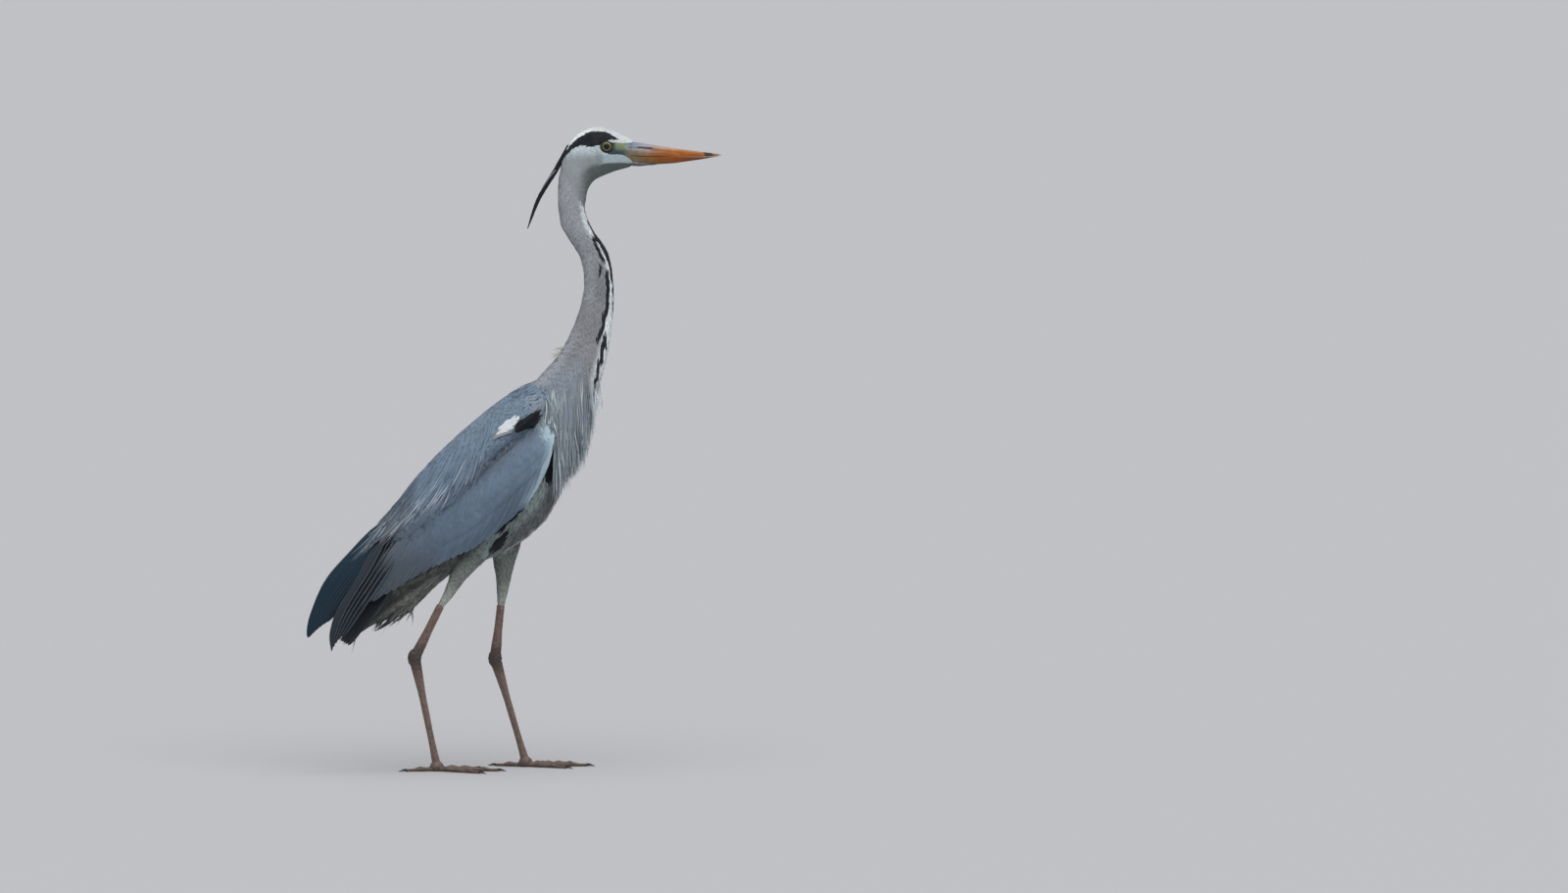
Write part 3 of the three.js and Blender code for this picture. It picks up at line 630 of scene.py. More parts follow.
# Sections of the two mandibles: x, the mouth's edge, the ridge or keel, half the width.
BILL_UPPER = np.array([
    (219, 848.4, 866.4, 9.2), (229.5, 847.8, 866.0, 9.4), (246, 846.8, 863.6, 8.0), (264, 846.7, 860.9, 6.6),
    (283.5, 846.6, 857.6, 5.3), (302.5, 846.2, 855.1, 4.1), (322, 846.0, 852.6, 2.9),
    (338, 846.9, 850.6, 1.6), (348.3, 847.9, 848.7, 0.6),
])
BILL_LOWER = np.array([
    (219, 848.0, 837.0, 8.6), (231.5, 847.3, 835.5, 8.8), (246, 846.4, 834.4, 7.5), (264, 846.3, 835.6, 6.2),
    (283.5, 846.2, 837.0, 5.0), (302.5, 845.8, 839.6, 3.8), (322, 845.6, 842.5, 2.6),
    (337, 846.5, 845.3, 1.3), (345, 847.2, 846.6, 0.6),
])


def ramp(x, places, colours):
    """Colours read along x between a few places."""
    return np.stack([np.interp(x, places, channel) for channel in np.array(colours).T], 1)


BILL_PLACES = (230, 240, 250, 262, 290, 320)
# The bill's colours at those places: along the mouth's edge, halfway up and along the ridge or keel.
BILL_TONES = {
    "upper low": [(0.22, 0.18, 0.125), (0.27, 0.17, 0.095), (0.32, 0.15, 0.08),
        (0.35, 0.115, 0.02), (0.43, 0.11, 0.008), (0.34, 0.085, 0.01)],
    "upper middle": [(0.28, 0.30, 0.315), (0.38, 0.33, 0.31), (0.36, 0.24, 0.20),
        (0.40, 0.17, 0.065), (0.40, 0.10, 0.008), (0.42, 0.13, 0.02)],
    "upper high": [(0.19, 0.25, 0.34), (0.305, 0.32, 0.40), (0.36, 0.32, 0.34),
        (0.43, 0.32, 0.27), (0.46, 0.23, 0.10), (0.42, 0.20, 0.09)],
    "lower high": [(0.22, 0.155, 0.08), (0.22, 0.12, 0.04), (0.27, 0.12, 0.03),
        (0.26, 0.085, 0.012), (0.32, 0.065, 0.004), (0.26, 0.07, 0.008)],
    "lower low": [(0.20, 0.17, 0.10), (0.18, 0.13, 0.07), (0.18, 0.12, 0.06),
        (0.20, 0.09, 0.03), (0.24, 0.07, 0.015), (0.13, 0.045, 0.012)],
}
NOSTRIL = dict(x=243.5, z=858.6, half=8.5, slope=0.10)


def from_nostril(x, z, tall):
    """1 at the nostril's edge, less inside it."""
    ahead = x - NOSTRIL["x"]
    return np.maximum(np.abs(ahead) / NOSTRIL["half"],
                      np.abs(z - NOSTRIL["z"] + NOSTRIL["slope"] * ahead) / tall)


def groove_place(x):
    """How high up the upper mandible its long groove runs, as a share."""
    return np.interp(x, (232, 250, 300), (0.62, 0.58, 0.5))


def bill_colour(points, upper):
    x, _, z = points.T
    table = BILL_UPPER if upper else BILL_LOWER
    edge = np.interp(x, table[:, 0], table[:, 1])
    far = np.interp(x, table[:, 0], table[:, 2])
    height = np.abs(z - edge) / np.maximum(np.abs(far - edge), 0.5)
    if upper:
        low = ramp(x, BILL_PLACES, BILL_TONES["upper low"])
        middle = ramp(x, BILL_PLACES, BILL_TONES["upper middle"])
        high = ramp(x, BILL_PLACES, BILL_TONES["upper high"])
        colour = mix(mix(low, middle, ease(0.22, 0.55, height)), high, ease(0.68, 0.86, height))
        colour = mix(colour, (0.10, 0.09, 0.10),
                     ease(0.10, 0.02, np.abs(height - groove_place(x))) * ease(285, 256, x) * 0.5)
        # The nostril slit is painted near black: painted shade inside its opening.
        colour = mix(colour, (0.010, 0.010, 0.014), ease(1.5, 0.8, from_nostril(x, z, 1.0)))
    else:
        high = ramp(x, BILL_PLACES, BILL_TONES["lower high"])
        low = ramp(x, BILL_PLACES, BILL_TONES["lower low"])
        colour = mix(high, low, ease(0.35, 0.9, height))
        colour = mix(colour, (0.05, 0.022, 0.012),
                     ease(0.45, 0.9, height) * ease(309, 318, x) * ease(334, 328, x) * 0.8)
    stain = ease(7.0, 4.6, np.abs(x - 331.5 + 0.5 * (z - 848)))
    colour = mix(colour, (0.036, 0.018, 0.010), stain * 0.9)
    colour = mix(colour, (0.24, 0.16, 0.09), ease(338.5, 342, x))
    along = points * (0.12, 1, 1)
    return colour * patchy(points, 18, 0.09, 29 + upper)[:, None] * patchy(along, 3, 0.07, 31)[:, None]


# Edges of the bare face in the side view, as (x, z): the crown's feathers over the lores, and the cheek's
# under them.
LORE_TOP = [(180, 862), (186, 867.0), (194, 868.6), (200, 867.2), (206, 866.4), (214, 865.6), (222, 866.0),
            (232, 866.4)]
LORE_LOW = [(183, 856), (187, 852), (193, 849.8), (200, 849.6), (212, 849.0), (217, 847.0),
            (222, 843.4), (228, 839.2), (236, 838.0), (248, 837.0), (262, 834.6)]
GAPE = [(176, 848.3), (186, 848.6), (195, 849.0), (232, 847.6)]  # the mouth's line


def height_of(line, x):
    return np.interp(x, *np.array(line).T)


def from_eye(points):
    return np.hypot(points[:, 0] - EYE["x"], points[:, 2] - EYE["z"])


def bare_face(points):
    """How bare the skin is: 1 on the lores and round the eye, 0 under the feathers."""
    x, y, z = points.T
    ragged = 0.5 * np.sin(1.9 * x) + 0.3 * np.sin(4.3 * x + 1)
    ring = ease(9.6, 8.9, from_eye(points)) * (np.abs(y) > 8)
    under_crown = ease(0.6, -0.6, z - height_of(LORE_TOP, x) - ragged)
    over_cheek = ease(-0.6, 0.6, z - height_of(LORE_LOW, x) - ragged)
    return np.maximum(ring, under_crown * over_cheek * ease(188, 193, x))


def bare_colour(points):
    """Dark skin below the lores, dull yellow above, and the bill's own colours at its root."""
    x, _, z = points.T
    colour = mix(LORE_BLUE, LORE_YELLOW, ease(852.5, 861.5, z + 0.15 * (x - 210)) * ease(199, 206, x))
    colour = mix(colour, (0.50, 0.53, 0.45), ease(865, 868.5, z) * ease(192, 198, x) * 0.8)
    spot = ((x - 219) / 3.4) ** 2 + ((z - 860.6) / 2.2) ** 2
    colour = mix(colour, (0.50, 0.55, 0.44), np.exp(-spot) * 0.8)
    edge = np.interp(x, BILL_UPPER[:, 0], BILL_UPPER[:, 1])
    bill = np.where((z > edge)[:, None], bill_colour(points, True), bill_colour(points, False))
    colour = mix(colour, bill, ease(213, 225, x + 0.3 * np.abs(z - 857)))
    away = from_eye(points)
    reach = 9.8 - 0.9 * ease(1, 6, z - EYE["z"])
    colour = mix(colour, (0.020, 0.023, 0.022), ease(0.4, -0.4, away - reach))
    # Painted shadow along the mouth's line at the gape.
    gape = ease(0.9, 0.2, np.abs(z - height_of(GAPE, x))) * ease(215, 208, x)
    colour = mix(colour, (0.03, 0.04, 0.05), gape)
    return colour * patchy(points, 5, 0.12, 23)[:, None] * patchy(points, 2.2, 0.10, 24)[:, None]


def sculpt_head(verts, normals):
    """Brow, the hollow ahead of the eye, the cheek, and an even socket round the eye."""
    x, y, z = verts.T
    side = ease(4, 10, np.abs(y))
    move = np.zeros(len(verts))
    for cx, cz, wide, tall, height in (
        (209, 857, 8, 4.5, -1.3), (193, 871.0, 12, 2.2, 0.7), (164, 848, 12, 9, 0.7), (186, 849.5, 8, 3, 0.5),
    ):
        move += height * np.exp(-(((x - cx) / wide) ** 2) - ((z - cz) / tall) ** 2)
    verts = verts + normals * (move * side)[:, None]
    # The chin and the front of the forehead are fuller.
    fuller = ease(-0.15, -0.7, normals[:, 2]) * ease(808, 822, z)
    verts[:, 2] -= fuller * np.interp(x, (166, 182, 200, 214, 221, 229), (0, 1.2, 1.2, 2.2, 2.5, 1.0))
    verts[:, 2] += ease(0.15, 0.7, normals[:, 2]) * np.interp(x, (205, 216, 224), (0, 1.0, 2.4)) * (z > 840)
    # The head's front end narrows, so that it dives under the bill's root.
    verts[:, 1] *= 1 - 0.14 * ease(220, 229, verts[:, 0])
    rim = EYE["y"] + math.sqrt(EYE["radius"] ** 2 - EYE["opening"] ** 2) - 0.5
    share = ease(12.5, 8.0, from_eye(verts)) * side
    verts[:, 1] += np.sign(y) * (rim - np.abs(verts[:, 1])) * share
    return verts


names = FLESH + UNDER_FEATHERS
solid_verts, solid_faces, solid_labels = joined([node_mesh(n) for n in names])
solids = Surface(solid_verts, solid_faces)
coat_names = list(COAT_OF.values())
solid_coats = np.array([coat_names.index(COAT_OF[n.split("_")[0]]) for n in names])[solid_labels]

skin_verts, skin_quads = remeshed([node_mesh(n) for n in names], SKIN_VOXEL)
skin_edges = edges_of(skin_quads)
_, near_face = solids.nearest(skin_verts)
skin_coat = solid_coats[near_face]
skin_verts = smoothed(skin_verts, skin_edges, SKIN_ROUNDS)
# The shoulder runs smoothly into the neck's base.
shoulder = np.exp(-(((skin_verts - (98, 0, 500)) / (24, 1000, 34)) ** 2).sum(1))[:, None]
for _ in range(SHOULDER_ROUNDS):
    skin_verts = skin_verts + 0.5 * shoulder * (neighbour_mean(skin_verts, skin_edges) - skin_verts)
skin_normals = vertex_normals(skin_verts, skin_quads)

depth = np.array([COAT_DEPTH[coat_names[c]] for c in skin_coat])
whole = BVHTree.FromPolygons(skin_verts.tolist(), skin_quads.tolist())
for i, (point, inward) in enumerate(zip(skin_verts, -skin_normals)):
    hit = whole.ray_cast(point + inward * 0.2, inward, 30)
    if hit[3] is not None:
        depth[i] = min(depth[i], 0.3 * hit[3])
depth = depth * (1 - bare_face(skin_verts) * 0.9)
depth = depth[:, None]
for _ in range(DEPTH_ROUNDS):
    depth = 0.5 * depth + 0.5 * neighbour_mean(depth, skin_edges)
skin_verts = skin_verts - skin_normals * depth
skin_verts = sculpt_head(skin_verts, skin_normals)
skin_normals = vertex_normals(skin_verts, skin_quads)


def coat_colour(points, coats):
    colour = np.zeros((len(points), 3))
    for i, name in enumerate(coat_names):
        if (coats == i).any():
            colour[coats == i] = COLOUR_OF[name](points[coats == i])
    return colour


def refined(obj, test, cuts):
    """Splits an object's faces finely where a test of their middles holds. Gives the new vertices."""
    shape = bmesh.new()
    shape.from_mesh(obj.data)
    middles = drawing([f.calc_center_median()[:] for f in shape.faces])
    chosen = {edge for face, on in zip(shape.faces, test(middles)) if on for edge in face.edges}
    bmesh.ops.subdivide_edges(shape, edges=list(chosen), cuts=cuts, use_grid_fill=True, smooth=0.9)
    shape.to_mesh(obj.data)
    shape.free()
    verts = np.empty(len(obj.data.vertices) * 3)
    obj.data.vertices.foreach_get("co", verts)
    return drawing(verts.reshape(-1, 3))


skin = new_object("skin", skin_verts, skin_quads)
fine_verts = refined(skin, lambda middles: bare_face(middles) > 0.01, 3)
fine_coat = solid_coats[solids.nearest(fine_verts)[1]]
bare = bare_face(fine_verts)[:, None]
set_tint(skin, coat_colour(fine_verts, fine_coat) * (1 - bare) + bare_colour(fine_verts) * bare)
finish_piece(skin, DOWN, FLESH)

quad_coat = skin_coat[skin_quads[:, 0]]
skin_surface = Surface(skin_verts, skin_quads, skin_normals, quad_coat)

# ---------------------------------------------------------------- feathers

# A vane's cross-sections, anticlockwise from the left edge: how far across, and how far above the middle.
THIN = np.array([(-1, 0), (0, 1), (1, 0), (0, -0.7)])
LITE = np.array([(-1, 0), (-0.45, 0.45), (0, 1), (0.45, 0.45), (1, 0), (0, -0.6)])
FULL = np.array([(-1, -0.2), (-0.86, 0.15), (-0.45, 0.4), (-0.05, 0.5), (0, 1.0), (0.05, 0.5), (0.45, 0.4),
                 (0.86, 0.15), (1, -0.2), (0.45, -0.5), (0, -0.9), (-0.45, -0.5)])


def towards_tip(rings, power=1.0):
    """Places of a feather's rings from its root (0) to its tip (1). A power over 1 gathers them there."""
    return 1 - (1 - np.linspace(0, 1, rings)) ** power


def vane_profile(t, root=0.35, blunt=3.0, tip=0.05):
    """Half-width shares along a feather: narrow at the root, broad, then rounded off at its tip."""
    return np.maximum(tip, (root + (1 - root) * ease(0, 0.3, t)) * (1 - t**blunt) ** 0.62)


def vanes(lines, ups, width, thick, shares, section=THIN, cup=0.12, ragged=0.0):
    """Closed feathers along lines (N, K, 3). shares gives each ring's part of the width."""
    count, rings, _ = lines.shape
    along = unit(np.gradient(lines, axis=1))
    side = unit(np.cross(ups, along))
    up = np.cross(along, side)
    shares = np.broadcast_to(np.asarray(shares, float), (count, rings))
    half = np.broadcast_to(np.asarray(width, float).reshape(count, -1), (count, rings)) / 2 * shares
    across = section[:, 0] * half[:, :, None]
    if ragged:
        notch = 1 - ragged * rng.random((count, rings, 1)) ** 3
        across = across * np.where(np.abs(section[:, 0]) > 0.9, notch, 1)
    tall = np.asarray(thick, float).reshape(-1, 1) / 2 * np.clip(shares * 1.5, 0.2, 1)
    raised = section[:, 1] * tall[:, :, None] - cup * np.abs(across) * np.abs(section[:, 0])
    return lines[:, :, None] + side[:, :, None] * across[..., None] + up[:, :, None] * raised[..., None]


def tube_faces(rings, corners):
    """Quads round a closed tube of rings, with its two ends closed by strips."""
    faces = []
    for k in range(rings - 1):
        for m in range(corners):
            n = (m + 1) % corners
            faces.append((k * corners + m, (k + 1) * corners + m, (k + 1) * corners + n, k * corners + n))
    last = (rings - 1) * corners
    for m in range(corners // 2 - 1):
        faces.append((m + 1, corners - 2 - m, corners - 1 - m, m)[::-1])
        faces.append((last + m, last + corners - 1 - m, last + corners - 2 - m, last + m + 1)[::-1])
    return np.array(faces)


class Coat:
    """Collects feathers of one piece and makes them into one mesh."""

    def __init__(self, name, material=None, patch=0.003):
        self.name, self.material, self.patch = name, material or SOFT, patch
        self.verts, self.faces, self.tints, self.vane = [], [], [], []
        self.homes, self.local, self.rims = [], [], []
        self.total = 0

    def add(self, verts, tints, homes, section=THIN):
        """verts and tints (N, K, M, 3), homes (N, 2): each root's place on an unwrap of the skin."""
        count, rings, corners, _ = verts.shape
        if not count:
            return
        starts = self.total + np.arange(count) * rings * corners
        self.faces.append((tube_faces(rings, corners) + starts[:, None, None]).reshape(-1, 4))
        self.total += count * rings * corners
        self.verts.append(verts.reshape(-1, 3))
        self.tints.append(np.broadcast_to(tints, verts.shape).reshape(-1, 3))
        right = int(section[:, 0].argmax())
        half = np.linalg.norm(verts[:, :, right] - verts[:, :, 0], axis=-1)[..., None] / 2
        steps = np.linalg.norm(np.diff(verts.mean(2), axis=1), axis=-1)
        run = np.concatenate([np.zeros((count, 1)), np.cumsum(steps, axis=1)], 1)[..., None]
        across = np.broadcast_to(section[:, 0], (count, rings, corners))
        chance = np.broadcast_to(rng.random((count, 1, 1)), across.shape)
        vane = np.stack([across * half, np.broadcast_to(run, across.shape), chance], -1)
        self.vane.append(vane.reshape(-1, 3))
        share = np.broadcast_to(run / run[:, -1:], across.shape)
        self.local.append(np.stack([across / 2, share - 0.5], -1).reshape(-1, 2))
        self.homes.append(np.repeat(homes, rings * corners, axis=0))
        rim = np.zeros(corners, int)
        rim[0], rim[right] = 1, 2
        self.rims.append(np.tile(rim, count * rings))

    def make(self, replaced=()):
        verts, faces = np.vstack(self.verts), np.vstack(self.faces)
        obj = new_object(self.name, verts, faces)
        set_tint(obj, np.clip(np.vstack(self.tints), 0, 1))
        set_vector(obj, "vane", np.vstack(self.vane))
        # The two thin rims of every vane are sharp, so that its upper face shades as a flat blade.
        rims = np.concatenate(self.rims)
        ends = np.empty(len(obj.data.edges) * 2, np.int32)
        obj.data.edges.foreach_get("vertices", ends)
        one, two = rims[ends.reshape(-1, 2)].T
        sharp = obj.data.attributes.new("sharp_edge", "BOOLEAN", "EDGE")
        sharp.data.foreach_set("value", (one > 0) & (one == two))
        homes = np.vstack(self.homes)
        low, high = homes.min(0), homes.max(0)
        edge = self.patch
        homes = edge + (homes - low) / np.maximum(high - low, 1e-6) * (1 - 2 * edge)
        uv = homes + np.vstack(self.local) * self.patch
        layer = obj.data.uv_layers.new(name="OFBake")
        layer.data.foreach_set("uv", uv[faces.ravel()].astype(np.float32).ravel())
        return finish_piece(obj, self.material, replaced)


def scatter(surface, chosen, spacing, keep=0.62):
    """Even random points on some faces of a surface, about a spacing apart, in a repeatable order."""
    faces = surface.faces[chosen]
    a, b, c, d = (surface.verts[faces[:, i]] for i in range(4))
    area = np.linalg.norm(np.cross(c - a, d - b), axis=1) / 2
    spots = int(5 * area.sum() / spacing**2)
    picks = rng.choice(len(faces), spots, p=area / area.sum())
    s, t = rng.random((2, spots, 1))
    points = (a[picks] * (1 - s) + b[picks] * s) * (1 - t) + (d[picks] * (1 - s) + c[picks] * s) * t
    _, first = np.unique(np.floor(points / (spacing * 0.8)).astype(int), axis=0, return_index=True)
    points = points[np.sort(first)]
    tree = KDTree(len(points))
    for i, point in enumerate(points):
        tree.insert(point, i)
    tree.balance()
    dropped = np.zeros(len(points), bool)
    for i, point in enumerate(points):
        if not dropped[i]:
            for _, j, _ in tree.find_range(point, spacing * keep):
                dropped[j] = dropped[j] or j > i
    points = points[~dropped]
    return points[bare_face(points) < 0.25 + 0.5 * rng.random(len(points))]


def grow(surface, roots, lengths, way, steps, rise, cling=1.2, root_rise=0.1):
    """Lines that lie along a surface from their roots. They rise from it towards their tips."""
    points, normals, _ = surface.nearest(roots)
    lines, ups = [points], [normals]
    lengths = np.asarray(lengths, float).reshape(-1, 1)
    for _ in range(steps):
        ahead = way(points)
        ahead = unit(ahead - dot(ahead, normals) * normals)
        goal = points + ahead * lengths / steps
        found, up, _ = surface.nearest(goal)
        pull = found - goal
        gap = np.linalg.norm(pull, axis=1, keepdims=True)
        outside = dot(pull, up) < 0
        points = goal + pull * np.where(outside, np.minimum(1, cling / np.maximum(gap, 1e-6)), 1)
        normals = unit(np.where(outside & (gap > cling * 2), normals, up))
        lines.append(points)
        ups.append(normals)
    lines, ups = np.stack(lines, 1), np.stack(ups, 1)
    t = np.linspace(0, 1, steps + 1)[None, :, None]
    rise = np.asarray(rise, float).reshape(-1, 1, 1)
    return lines + ups * (root_rise + rise * t**1.2), ups


def body_homes(points):
    run, angle, _ = along_body(points)
    return np.stack([run / MIDLINE_RUN[-1], angle / (2 * math.pi) + 0.5], 1)


def around(value, spread, count):
    return value * (1 + spread * rng.uniform(-1, 1, count))


def each(value, spread, count):
    """The same, shaped to multiply the tints (N, K, M, 3) of whole feathers."""
    return around(value, spread, count)[:, None, None, None]


# The width's shares along a small feather, from root to tip.
TINY = (0.7, 1.0, 0.12)
SHORT = (0.6, 1.0, 0.85, 0.12)
LEAF = (0.5, 0.95, 1.0, 0.72, 0.12)


def small_feathers(coat, roots, way, colour, length, width, rise, thick=0.2, shares=SHORT, root=0.9, tip=1.05,
                   splay=0.07, vary=0.05, ragged=0.0, cling=1.2, surface=None):
    """A tract of small feathers. root and tip shade their two ends; vary is how much they differ."""
    surface = surface or skin_surface
    count = len(roots)
    lengths = around(1, 0.22, count) * length
    turn = rng.normal(0, splay, (count, 1))

    def turned(points):
        ahead = way(points)
        _, up, _ = surface.nearest(points)
        return ahead + np.cross(up, ahead) * turn

    lines, ups = grow(surface, roots, lengths, turned, len(shares) - 1, around(1, 0.25, count) * rise, cling)
    verts = vanes(lines, ups, around(1, 0.18, count) * width, thick, shares, ragged=ragged)
    shade = np.linspace(root, tip, len(shares))[None, :, None, None]
    tints = colour(lines[:, -2])[:, None, None] * shade * each(1, vary, count)
    # A feather that a fold in the skin has turned out of the lie is left out.
    run = lines[:, -1] - lines[:, 0]
    lying = (dot(unit(run), unit(way(roots)))[:, 0] > 0.4) & (np.linalg.norm(run, axis=1) > 0.7 * lengths)
    coat.add(verts[lying], tints[lying], body_homes(roots[lying]))


def faces_where(coat, test=None):
    """The skin's faces that carry one part of the coat."""
    chosen = quad_coat == coat_names.index(coat)
    if test is not None:
        chosen &= test(skin_verts[skin_quads].mean(1))
    return chosen


def size_on_head(points):
    """Feathers grow longer from the bill's root to the nape: a factor from 0.5 to 1.6."""
    return 0.5 + 1.1 * ease(0, 130, along_body(points)[0])


def lie_of_thigh(name):
    ahead = {"right": (-70, 0, -112), "left": (-12, 0, -116)}[name]
    return lambda points: np.broadcast_to(unit(np.array(ahead, float)), points.shape)


def lie_of_mantle(points):
    return heading(np.interp(points[:, 0], (-110, -40, 60), (50, 55, 52)))


def lie_of_wing(points):
    return heading(np.interp(points[:, 0], (-120, -40, 70, 112), (57, 64, 68, 76)))


def lie_of_undertail(points):
    return np.broadcast_to(unit(np.array((-112.0, 0, -92))), points.shape)


def lie_of_trunk(points):
    x, _, z = points.T
    down = np.stack([-0.35 * np.ones_like(x), 0 * x, -np.ones_like(x)], 1)
    ahead = mix(towards_tail(points), unit(down), 0.6 * ease(300, 470, z))
    return mix(ahead, np.array((0.12, 0, -1.0)), ease(90, 108, x) * ease(375, 400, z))


def make_head_coats():
    for name, near, far in (("face", -1, 52), ("head", 52, 400)):
        coat = Coat(f"coat_{name}")
        roots = scatter(skin_surface,
                        faces_where("head", lambda m: (along_body(m)[0] >= near) & (along_body(m)[0] < far)),
                        0.95 if name == "face" else 1.35)
        size = size_on_head(roots)
        small_feathers(coat, roots, towards_tail, head_colour, 6.2 * size, 1.2 * size**0.6, 0.15 + 0.3 * size,
                       0.10, TINY if name == "face" else SHORT, root=0.97, tip=1.02, splay=0.08, vary=0.04)
        if name == "face":
            chin_feathers(coat)
        coat.make()


def chin_feathers(coat):
    """The chin's short feathers, which run on under the lower half of the bill to a point."""
    middles = lower_bill.verts[lower_bill.faces].mean(1)
    roots = scatter(lower_bill, (middles[:, 0] < 262) & (middles[:, 0] > 226) & (middles[:, 2] < 843), 0.95)
    rise = 0.4 + 2.6 * ease(252, 236, roots[:, 0]) * ease(841, 837, roots[:, 2])
    small_feathers(coat, roots, lambda p: np.broadcast_to((-1.0, 0, -0.02), p.shape), head_colour, 5.2, 0.9,
                   rise, 0.12, TINY, surface=lower_bill)


def make_neck_coats():
    for name, low, high in (("upper", 625, 1000), ("lower", 0, 625)):
        coat = Coat(f"coat_neck_{name}")
        roots = scatter(skin_surface, faces_where("neck", lambda m: (m[:, 2] >= low) & (m[:, 2] < high)), 1.9)
        small_feathers(coat, roots, towards_tail, neck_colour, 16.0, 1.9, 1.1, 0.15, splay=0.06,
                       root=0.94, tip=1.03)
        if name == "lower":
            nape_tuft(coat)
        coat.make()


def nape_tuft(coat):
    """A few loose whitish strands at the back of the neck's base."""
    count, rings = 46, 7
    roots = np.stack([rng.uniform(low, high, count) for low, high in ((122, 136), (-11, 4), (566, 588))], 1)
    roots, normals, _ = skin_surface.nearest(roots)
    way = unit(np.array((-1.0, 0, 0.15)) + rng.normal(0, 0.30, (count, 3)))
    t = np.linspace(0, 1, rings)[None, :, None]
    lengths = rng.uniform(7, 17, count)[:, None, None]
    curl = np.array((-0.2, 0, -1.0)) * (t**2) * lengths * 0.35
    lines = roots[:, None] + way[:, None] * t * lengths + curl
    ups = np.broadcast_to(unit(normals + rng.normal(0, 0.3, (count, 3)))[:, None], lines.shape)
    verts = vanes(lines, ups, rng.uniform(0.7, 1.3, count), 0.25,
                  vane_profile(np.linspace(0, 1, rings), 0.8, 1.5, 0.15))
    coat.add(verts, np.array((0.62, 0.62, 0.56)) * np.ones((count, 1, 1, 1)), body_homes(roots))


def make_trunk_coat():
    coat = Coat("coat_trunk")
    roots = scatter(skin_surface, faces_where("trunk"), 3.9)
    small_feathers(coat, roots, lie_of_trunk, trunk_colour, 28.0, 4.4, 2.2, 0.2, LEAF, splay=0.08, ragged=0.3,
                   root=0.95, tip=1.03)
    coat.make()


def make_thigh_coats():
    for name, side in SIDES.items():
        coat = Coat(f"coat_thigh_{name}")
        roots = scatter(skin_surface, faces_where("thigh", lambda m: m[:, 1] * side > 0), 1.9)
        small_feathers(coat, roots, lie_of_thigh(name), thigh_colour, 15.0, 2.0, 1.3, 0.16,
                       splay=0.06, root=0.94)
        coat.make()


# Loose wisps below the tail's root: tip of each in the side view, and its place across.
WISPS = [(-111, 6, 202), (-111, -14, 203), (-88, -9, 214), (-66, 8, 236), (-66, -13, 237), (-132, -6, 190)]


def make_undertail_coat():
    coat = Coat("coat_undertail")
    roots = scatter(skin_surface, faces_where("undertail"), 2.5)
    small_feathers(coat, roots, lie_of_undertail, undertail_colour, 32.0, 3.2, 2.6, 0.25, LEAF, splay=0.06,
                   ragged=0.3, vary=0.10, cling=0.9)
    rings = 9
    for x, y, z in WISPS:
        count = 22
        t = np.linspace(0, 1, rings)[None, :, None]
        tips = np.array((x, y, z)) + rng.normal(0, 1, (count, 3)) * (1.3, 2.2, 1.0)
        tips += np.array((0.9, 0, 0.75)) * rng.exponential(7, (count, 1)).clip(0, 20)
        lengths = rng.uniform(48, 64, count)[:, None]
        back = np.array((0.67, -0.10 * np.sign(y), 0.74)) + rng.normal(0, 0.02, (count, 3))
        roots = tips + back * lengths
        sag = np.array((-0.7, 0, 0.6)) * (4 * t * (1 - t)) * 2.5
        lines = roots[:, None] * (1 - t) + tips[:, None] * t + sag
        ups = np.broadcast_to(unit(rng.normal(0, 0.3, (count, 3)) + (0, np.sign(y), 0))[:, None], lines.shape)
        verts = vanes(lines, ups, rng.uniform(1.6, 3.2, count), 0.3, vane_profile(t[0, :, 0], 0.6, 1.6, 0.08))
        tints = undertail_colour(tips)[:, None, None] * each(1.15, 0.2, count)
        coat.add(verts, tints, body_homes(roots))
    # Soft dark feathers between the undertail and the tail.
    count = 90
    t = np.linspace(0, 1, rings)[None, :, None]
    place = rng.random((count, 1))
    tips = np.array((-133, 0, 213)) * (1 - place) + np.array((-150, 0, 197)) * place
    tips = tips + rng.normal(0, 1, (count, 3)) * (2.5, 0, 2.5)
    tips = tips + rng.uniform(-15, 15, (count, 1)) * (0, 1, 0)
    back = np.array((0.62, 0, 0.78)) + rng.normal(0, 0.03, (count, 3)) * (1, 0.3, 1)
    roots = tips + back * rng.uniform(40, 62, (count, 1))
    lines = roots[:, None] * (1 - t) + tips[:, None] * t
    facing = np.sign(tips[:, 1:2]) * (0, 1, 0) + (0, 0, 0.2)
    ups = np.broadcast_to(unit(facing)[:, None], lines.shape)
    verts = vanes(lines, ups, rng.uniform(5, 8, count), 0.3,
                  vane_profile(t[0, :, 0], 0.1, 2.4, 0.08), ragged=0.3)
    tints = undertail_colour(tips)[:, None, None] * each(0.8, 0.2, count)
    coat.add(verts, tints, body_homes(roots))
    coat.make(["undertail_coverts"])


# ---------------------------------------------------------------- shoulders and wings

# The folded wing in the side view, from the wrist to the rear: its top edge and its lower edge.
WING_TOP = spline([(119, 464), (110, 485), (91, 481), (60, 463), (26, 441), (-7, 415), (-40, 386), (-73, 353),
                   (-102, 317), (-118, 287)], 200)
WING_LOW = spline([(120, 458), (116, 437), (104, 407), (78, 373), (46, 342), (10, 313), (-30, 293),
                   (-70, 273), (-106, 252), (-136, 233)], 200)
